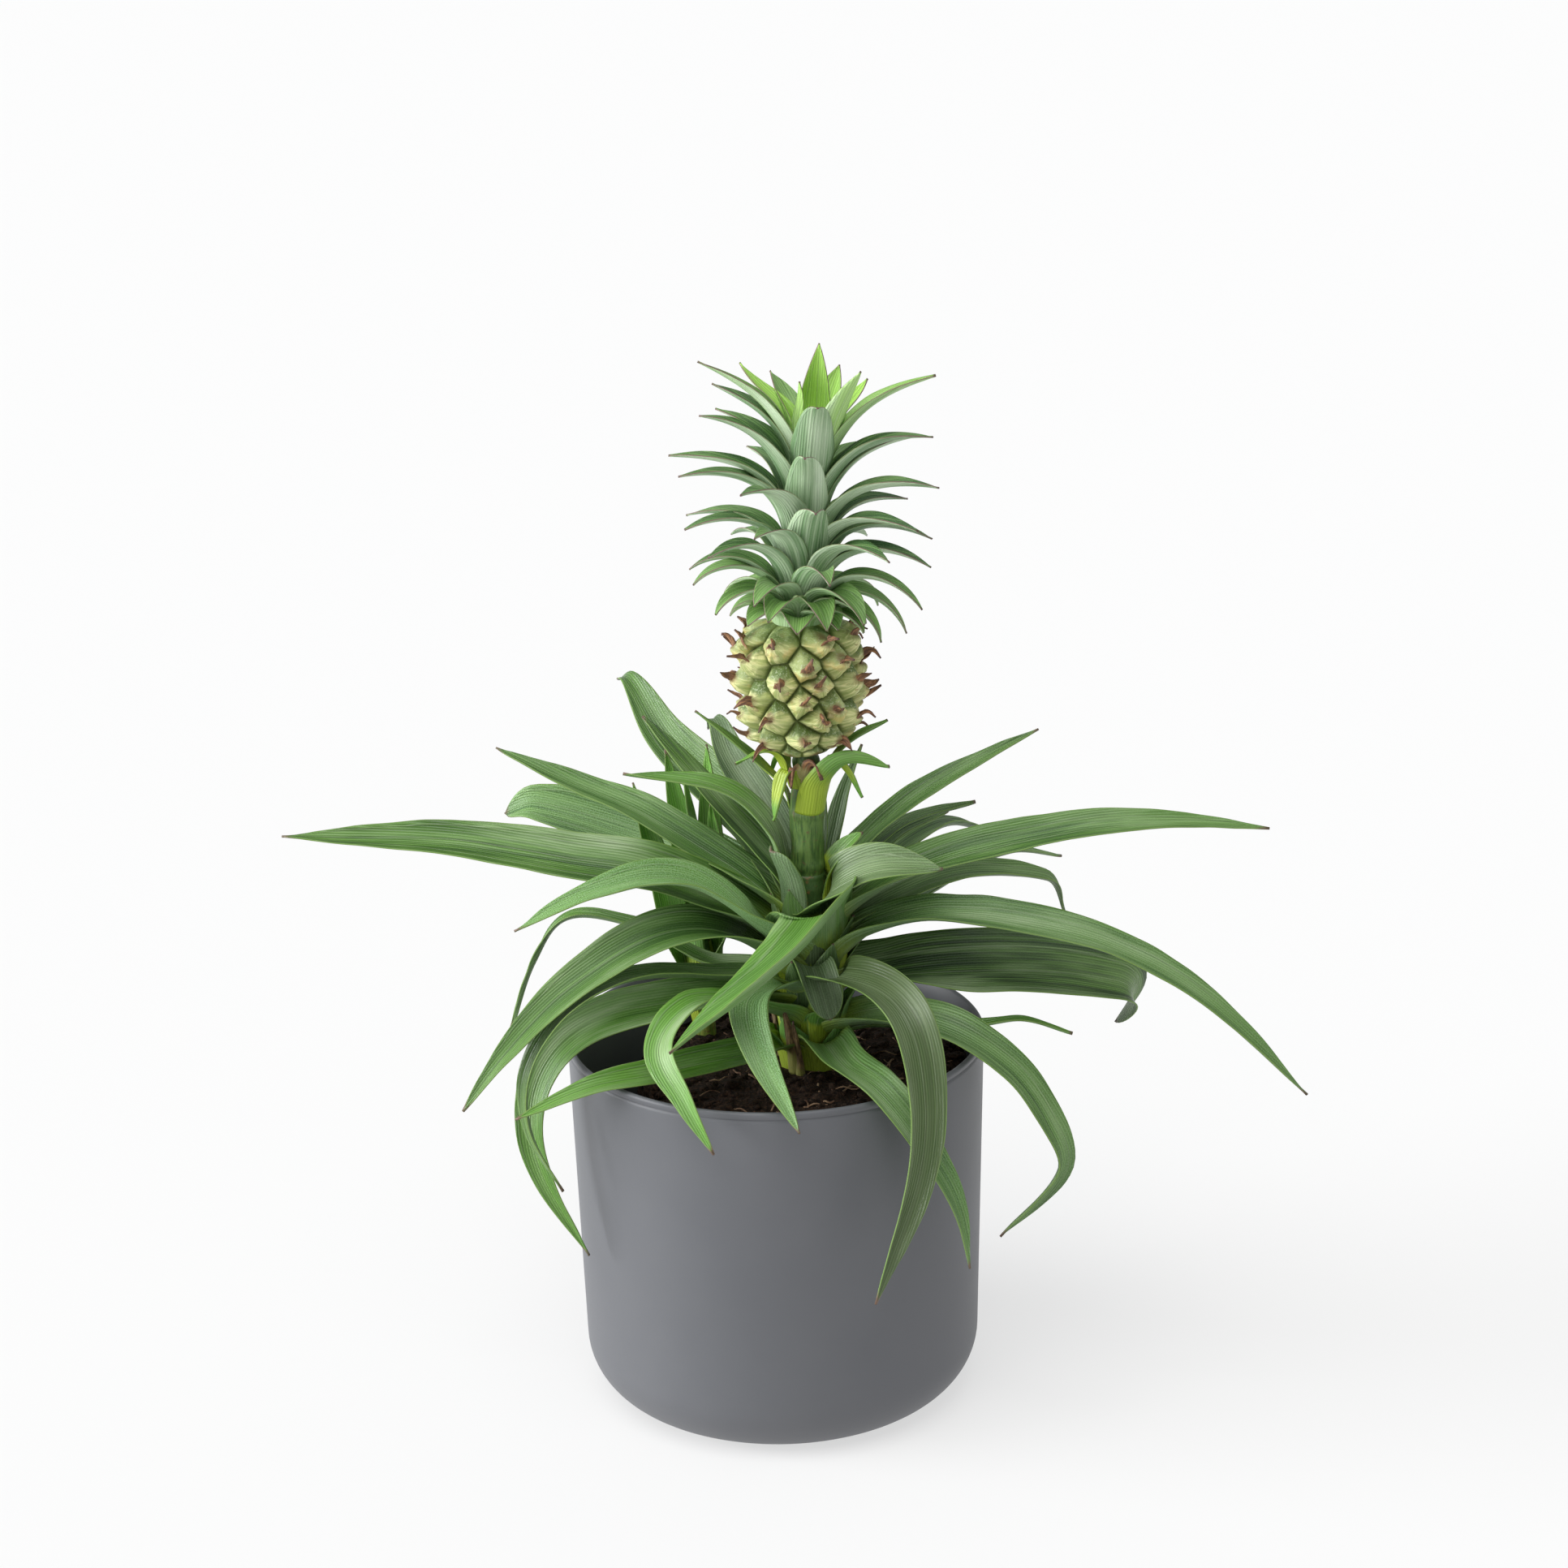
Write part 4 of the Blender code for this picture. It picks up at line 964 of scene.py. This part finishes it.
cream = fruit_skin.glaze(
    (0.32, 0.38, 0.12),
    ((0.68, 0.67, 0.32), streaks.band(0.36, 0.66)),
    ((0.62, 0.47, 0.15), (blotch + luck * 0.2).band(0.50, 0.66) * 0.6),
    (green, from_tip.band(4.5, 8.5) * 0.7),
)
colour = fruit_skin.glaze(
    cream,
    (green, (high + (blotch - 0.5) * 6 + luck * 2).band(0.4, 2.2)),
    ((0.60, 0.58, 0.30), high.size().band(0.9, 0.0) * groove.band(0.75, 0.35) * 0.35),
    ((0.095, 0.130, 0.018), groove.band(0.82, 0.98)),
    ((0.17, 0.085, 0.035), from_tip.band(2.6, 0.8) * blotch.band(0.38, 0.55) * 0.8),
)
fruit_skin.feed(Base_Color=colour, Roughness=0.36 + scurf * 0.3)
fruit_skin.bump(streaks * high.band(0.4, -0.4) + scurf * 0.5, 0.0007, 0.7)

# %% [markdown]
# ## The fruit
# A pineapple is many small fruits grown together in spirals. A fine sphere is pulled into a barrel, and the
# surface is raised inside each fruitlet's cell: rows of eight, each row set half a fruitlet round from the
# last. A cell reaches half way to the neighbours, so the raise depends on the two nearest middles: it is
# nothing where they are equally far, and grows to a beak at the middle. Noise shakes every middle out of its
# place, because the rows of a real fruit aren't even.

# %% The pattern of fruitlets
FRUIT_CENTRE = Vector(((fruit_low.x + fruit_high.x) / 2, (fruit_low.y + fruit_high.y) / 2, 0.0))
FRUIT_RADIUS = 18.3 * MM
FRUIT_FOOT = fruit_low.z + 3.2 * MM
FRUIT_HEIGHT = fruit_high.z - FRUIT_FOOT
ROUND, ROWS, ROW_START = 8, 6.8, 0.2
FIRST_TURN = math.radians(-4)
JITTER = 0.58  # how far a fruitlet may lie from its place in the pattern, in fruitlets
EYE_HEIGHT, BEAK, FOLD = 3.8 * MM, 1.9 * MM, 1.1 * MM


def fruit_outline(share):
    """The barrel's radius from its bottom, 0, to its top, 1."""
    power = 2.1 if share < 0.5 else 6.0
    return FRUIT_RADIUS * (1 - abs(2 * share - 1) ** power) ** 0.42


def eye_place(row, number):
    """Where a fruitlet's middle is: its direction, and its share of the fruit's height."""
    at = Vector((row * 1.37, (number % ROUND) * 2.11, 4.2))
    aside, aloft = noise.noise(at), noise.noise(at + Vector((31.4, 0.0, 5.5)))
    turn = FIRST_TURN + (number + 0.5 * ((row + 1) % 2) + JITTER * aside) * math.tau / ROUND
    return turn, (row + ROW_START + JITTER * aloft) / ROWS


def nearest_eye(turn, share):
    """The fruitlet that a point lies in: (groove, sideways, upward, row, number), in millimetres and shares."""
    girth = max(fruit_outline(share), 0.35 * FRUIT_RADIUS) / MM
    found = []
    for row in range(math.floor(share * ROWS) - 2, math.floor(share * ROWS) + 3):
        middle = round((turn - FIRST_TURN) / math.tau * ROUND - 0.5 * ((row + 1) % 2))
        for number in (middle - 1, middle, middle + 1):
            eye_turn, eye_share = eye_place(row, number)
            sideways = (turn - eye_turn) * girth
            upward = (share - eye_share) * FRUIT_HEIGHT / MM
            found.append((math.hypot(sideways, upward), sideways, upward, row, number % ROUND))
    first, second = sorted(found)[:2]
    apart = math.hypot(first[1] - second[1], first[2] - second[2])
    edge = (second[0] ** 2 - first[0] ** 2) / (2 * apart)
    return 1 - min(edge / 5.2, 1.0), *first[1:]


def fruit_surface(turn, share, rise):
    """A point on the fruit, with the swelling of its fruitlets."""
    groove, sideways, upward, row, number = nearest_eye(turn, share)
    ends = smooth(6 * share) * smooth(14 * (1 - share))
    swell = EYE_HEIGHT * (1 - groove**2.6) ** 0.8 - 0.6 * EYE_HEIGHT
    swell += BEAK * math.exp(-(sideways**2 + upward**2) / 9.0)
    swell += FOLD * smooth(0.5 - upward) * smooth(2.2 * (1 - groove))
    radius = fruit_outline(share) + swell * ends + rise
    height = FRUIT_FOOT + FRUIT_HEIGHT * share
    return FRUIT_CENTRE + Vector((radius * math.cos(turn), radius * math.sin(turn), height))


print("fruit from", round(FRUIT_FOOT / MM, 1), "to", round(fruit_high.z / MM, 1), "mm")

# %% Model the fruit
bm = bmesh.new()
bmesh.ops.create_uvsphere(bm, u_segments=288, v_segments=150, radius=1.0)
eye, fan = bm.verts.layers.float_vector.new("eye"), bm.verts.layers.float_vector.new("fan")
for vert in bm.verts:
    share = 0.5 + math.atan2(vert.co.z, math.hypot(vert.co.x, vert.co.y)) / math.pi
    turn = math.atan2(vert.co.y, vert.co.x)
    groove, sideways, upward, row, number = nearest_eye(turn, share)
    luck = noise.cell(Vector((row * 3.7, number * 5.3, 0.5)))
    vert[eye] = (groove, upward, luck)
    vert[fan] = (math.atan2(sideways, 1.5 - upward), math.hypot(sideways, upward - 1.0), 0.0)
    vert.co = fruit_surface(turn, share, 0.25 * MM * noise.noise(vert.co * 16))
add_piece("pineapple_fruit", bm, [fruit_skin], ["fruit"], recalculate=True)

# %% [markdown]
# ## The bracts' dried tips
# The tip of each fruitlet's bract stands off the skin, dried to a reddish-brown flake that curls as it likes.
# It is a small blade, like a leaf's, that starts under the beak and lets go of the skin.


# %% Grow the dry tips
chance = random.Random(5)
bm = bmesh.new()
for row in range(math.ceil(ROWS)):
    for number in range(ROUND):
        turn, centre = eye_place(row, number)
        if not 0.05 < centre < 0.97:
            continue
        reach = chance.uniform(5.0, 9.5) * MM
        curl, sway = chance.uniform(-1.0, 1.0), chance.uniform(-0.7, 0.7)
        side = level(turn + math.pi / 2)
        slope = (centre - 0.45) * 1.2 + chance.uniform(-0.5, 0.5)
        middle = fruit_surface(turn, centre + 0.01, 0.1 * MM)
        lift = level(turn) * math.cos(slope) + UP * math.sin(slope)
        points = [
            fruit_surface(turn, centre - 0.05, -0.2 * MM),
            middle,
            middle + (lift * 0.40 + side * 0.15 * sway + UP * 0.15) * reach,
            middle + (lift * 0.75 + side * 0.5 * sway + UP * (0.1 + 0.45 * curl)) * reach,
        ]
        places, length = stations(smooth_route(points, 10), turn, 120 * sway, 0.0, 14)
        width, ragged = chance.uniform(3.4, 6.0) * MM, chance.uniform(0, 9)

        def half_width(share):
            frayed = 1 + 0.25 * noise.noise(Vector((share * 9, ragged, 0.0)))
            return tapered(width * frayed, share, 1.6, least=0.25 * MM)

        lay_blade(bm, places, length, half_width, lambda share: mix(0.3, 1.3, smooth(share * 1.6)), 0.9 * MM,
                  row * 10 + number, TONE, 0.0, across_faces=6)
finish_blades("fruit_bract_tips", bm, [], 0.35 * MM, DRY_TIP_FINISHES)

# %% [markdown]
# ## The crown
# The crown is a rosette of short leaves on top of the fruit. The low ones bend down over its shoulder, the
# middle ones arch out, and the top ones stand up. Each row gives a leaf's direction, the height it leaves at,
# how far its tip reaches, the tip's height, the slope of its end in degrees and its width. A leaf's midrib is
# then one curve that starts upwards and ends at that slope.

# %% The crown's table
CrownLeaf = namedtuple("CrownLeaf", "turn root reach tip slope width")
CROWN = [CrownLeaf(*row) for row in [
    (308, -3, 20, 4, -50, 14), (222, -3, 22, 3, -50, 14), (268, -3.5, 20, 3, -50, 14),
    (5, -3, 22, 2, -60, 13), (180, -3, 22, 2, -60, 13), (60, -3, 22, 1, -60, 13), (120, -3, 22, 1, -60, 13),
    (335, -3, 23, 2, -60, 13), (322, 0, 26, 7, -60, 12), (246, 0.5, 25, 7, -55, 13), (289, 1, 26, 6, -60, 13),
    (203, 1, 29, 5, -65, 12), (342, 0, 28, -1, -75, 11), (355, 1.5, 35, 1, -65, 11), (145, 1, 30, 0, -75, 11),
    (35, 2, 32, 4, -62, 11), (75, 2, 30, 2, -70, 11), (105, 4, 34, 11, -45, 12), (238, 4, 28, 12, -52, 12),
    (197, 4, 36, 14, -50, 12), (178, 5, 36, 16, -40, 12), (346, 4, 40, 11, -48, 12),
    (285, 6, 31, 22, -32, 13), (312, 3, 30, 8, -60, 13), (130, 8, 36, 22, -30, 12), (352, 9, 41, 24, -25, 13),
    (215, 9, 37, 26, -25, 13), (55, 10, 37, 24, -25, 13), (315, 11, 37, 30, -15, 13),
    (240, 13, 33, 35, -12, 13), (80, 13, 38, 30, -18, 13), (168, 15, 39, 32, -20, 13),
    (190, 16, 39, 31, -25, 13), (5, 16, 41, 31, -22, 13), (274, 15, 28, 44, 5, 15), (330, 19, 40, 39, -8, 13),
    (105, 20, 40, 41, -6, 13), (25, 22, 36, 41, -5, 13), (235, 24, 38, 49, -2, 14), (200, 25, 44, 50, -8, 13),
    (345, 26, 42, 51, -2, 14), (180, 28, 45, 53, -3, 13), (120, 29, 40, 50, 0, 13), (264, 27, 27, 61, 12, 15),
    (60, 31, 38, 55, 5, 13), (20, 35, 35, 62, 10, 13), (192, 36, 37, 68, 8, 14), (352, 38, 38, 66, 4, 14),
    (150, 38, 36, 65, 10, 12), (90, 39, 36, 66, 15, 13), (270, 42, 27, 77, 12, 15), (165, 45, 34, 75, 20, 13),
    (115, 46, 34, 76, 25, 12), (185, 47, 38, 84, 24, 14), (356, 48, 37, 85, 24, 13), (75, 50, 30, 80, 35, 12),
    (310, 50, 20, 87, 58, 13), (140, 52, 32, 80, 42, 9), (50, 53, 26, 78, 48, 10), (170, 54, 13, 76, 62, 7),
    (205, 55, 6, 80, 82, 7), (90, 56, 6, 91, 86, 11),
]]

# %% Crown finishes
NO_FOOT, CROWN_YOUNG = (-0.3, -0.6), (0.50, 0.90, 0.09)
CROWN_FINISHES = [
    leaf_finish("crown_top", (0.022, 0.085, 0.014), (0.18, 0.36, 0.085), (0.46, 0.58, 0.34), 0.5, 0.40,
                NO_FOOT, CROWN_YOUNG),
    leaf_finish("crown_under", (0.15, 0.28, 0.12), (0.52, 0.66, 0.43), (0.68, 0.80, 0.60), 0.85, 0.45,
                NO_FOOT, CROWN_YOUNG),
    margin_finish("crown_margin", (0.24, 0.30, 0.14), (0.17, 0.10, 0.09), 0.3, 0.8),
]

# %% Grow the crown
CROWN_BASE = Vector((PLANT.x - 1.7 * MM, PLANT.y, core_low.z - 2.5 * MM))
CROWN_LEAN = Matrix.Rotation(math.radians(5.5), 3, "Y")
CROWN_PIECES = 7
CORE_FOOT, CORE_TOP, CORE_HEIGHT = 6.0, 3.0, 62
LOW_LAUNCH, LAUNCH, PULL = 58, 72, 0.42  # the angles a leaf leaves at, and the reach of its curve's handles


def crown_core(height):
    """The crown stem's radius at a height above its foot, in millimetres."""
    return mix(CORE_FOOT, CORE_TOP, min(height / CORE_HEIGHT, 1.0))


def crown_midrib(leaf):
    """Points from the core to the tip. The sums are in the crown's own frame, in millimetres."""
    outward = level(math.radians(leaf.turn))
    root = outward * (crown_core(leaf.root) + 1.0) + UP * leaf.root
    leave = outward * (crown_core(leaf.root) + 2.6) + UP * (leaf.root + 7)
    tip = outward * leaf.reach + UP * leaf.tip
    pull = PULL * (tip - leave).length
    slope, launch = math.radians(leaf.slope), math.radians(LAUNCH if leaf.root > 6 else LOW_LAUNCH)
    start = leave + (outward * math.cos(launch) + UP * math.sin(launch)) * pull
    end = tip - (outward * math.cos(slope) + UP * math.sin(slope)) * pull
    curve = [root] + interpolate_bezier(leave, start, end, tip, 40)
    return [CROWN_BASE + CROWN_LEAN @ (p * MM) for p in curve]


def crown_piece(number, leaves):
    """Some of the crown's leaves as one piece."""
    bm = bmesh.new()
    for count, leaf in enumerate(leaves):
        places, length = stations(crown_midrib(leaf), math.radians(leaf.turn), 0, 7 * MM, 36)

        def half_width(share):
            return tapered(leaf.width * MM * mix(0.92, 1.12, smooth(share / 0.3)), share, 2.0, 0.95)

        def channel(share):
            clasp = half_width(0) / (crown_core(leaf.root) * MM + 2.2 * MM)
            return mix(min(clasp, 1.2), 0.75, smooth(share * 2.5))

        fresh = max(smooth((leaf.root - 44) / 10), 0.2 * smooth((8 - leaf.root) / 8))
        seed, tone = 100 + 9 * number + count, (fresh, 0.25, 0.0)
        lay_blade(bm, places, length, half_width, channel, 0.5 * MM, seed, tone, crease=0.06)
    finish_blades(f"crown_leaves_{number}", bm, [f"crown_whorl_{number}"], 0.6 * MM, CROWN_FINISHES)


ordered = sorted(CROWN, key=lambda leaf: leaf.root)
each = math.ceil(len(ordered) / CROWN_PIECES)
for number in range(CROWN_PIECES):
    crown_piece(number + 1, ordered[number * each:(number + 1) * each])
profile = [(0, 0), (CORE_FOOT, 0), (CORE_TOP, CORE_HEIGHT - 2), (0, CORE_HEIGHT)]
core = turned([(radius * MM, height * MM) for radius, height in profile], 32)
for vert in core.verts:
    vert.co = CROWN_BASE + CROWN_LEAN @ vert.co
add_piece("crown_core", core, [stalk_skin], ["crown_stem"])
print("crown leaves:", len(CROWN))

# %% [markdown]
# ## Floor, light and camera
# A plain pale floor runs out of view, and glows a little so that shadows on it stay pale. A white sky gives
# even light from all round, a low broad sun at the left models the forms, and a high one lights the upper
# faces. The camera stands about a metre away, a little above, and looks down.

# %% Stage
FLOOR_REACH, FLOOR_GREY, FLOOR_GLOW, SKY = 80.0, 0.30, 0.61, 0.5
bm = bmesh.new()
bmesh.ops.create_grid(bm, x_segments=1, y_segments=1, size=FLOOR_REACH)
floor_white = Finish(
    "floor_white", Roughness=0.9, Specular_IOR_Level=0.0, Base_Color=(FLOOR_GREY, FLOOR_GREY, FLOOR_GREY, 1.0),
    Emission_Color=(1.0, 1.0, 1.0, 1.0), Emission_Strength=FLOOR_GLOW
)
object_of("floor", bm, [floor_white])

world = bpy.data.worlds.new("studio")
world.use_nodes = True
sky = world.node_tree.nodes["Background"].inputs
sky["Color"].default_value, sky["Strength"].default_value = (0.98, 0.99, 1.0, 1.0), SKY
bpy.context.scene.world = world


def soft_sun(name, strength, width, azimuth, elevation, colour):
    """A sun lamp with a wide disc. Azimuth is counted from the camera's side towards +X."""
    lamp = bpy.data.lights.new(name, "SUN")
    lamp.energy, lamp.angle, lamp.color = strength, math.radians(width), colour
    sun = in_scene(name, lamp)
    around, above = math.radians(azimuth), math.radians(elevation)
    back = Vector((math.sin(around) * math.cos(above), -math.cos(around) * math.cos(above), math.sin(above)))
    sun.rotation_euler = back.to_track_quat("Z", "Y").to_euler()
    print("lamp", name, "shines from", [round(v, 2) for v in back])


soft_sun("window", 5.2, 45, -84, 7, (0.98, 0.99, 1.0))
soft_sun("overhead", 1.7, 45, -22, 63, (1.0, 0.995, 0.98))

# %% Camera
AIM = Vector((4.7, 0.0, 214.0)) * MM
DISTANCE, PITCH, ROLL, LENS, SENSOR = 1.100, 18.31, -1.33, 77.1, 36.0
camera_data = bpy.data.cameras.new("camera")
camera_data.lens, camera_data.sensor_width = LENS, SENSOR
camera = in_scene("camera", camera_data)
pitch = math.radians(PITCH)
camera.location = AIM + Vector((0.0, -math.cos(pitch), math.sin(pitch))) * DISTANCE
camera.rotation_mode = "QUATERNION"
look = (AIM - camera.location).to_track_quat("-Z", "Y")
camera.rotation_quaternion = look @ Matrix.Rotation(math.radians(ROLL), 3, "Z").to_quaternion()
bpy.context.scene.camera = camera
bpy.context.scene.view_settings.view_transform = "Standard"
print("camera at", [round(v, 3) for v in camera.location])

# %% [markdown]
# ## Update the view layer
# The view layer is brought up to date, so that every piece stands where it was put.

# %% Update the view layer
bpy.context.view_layer.update()
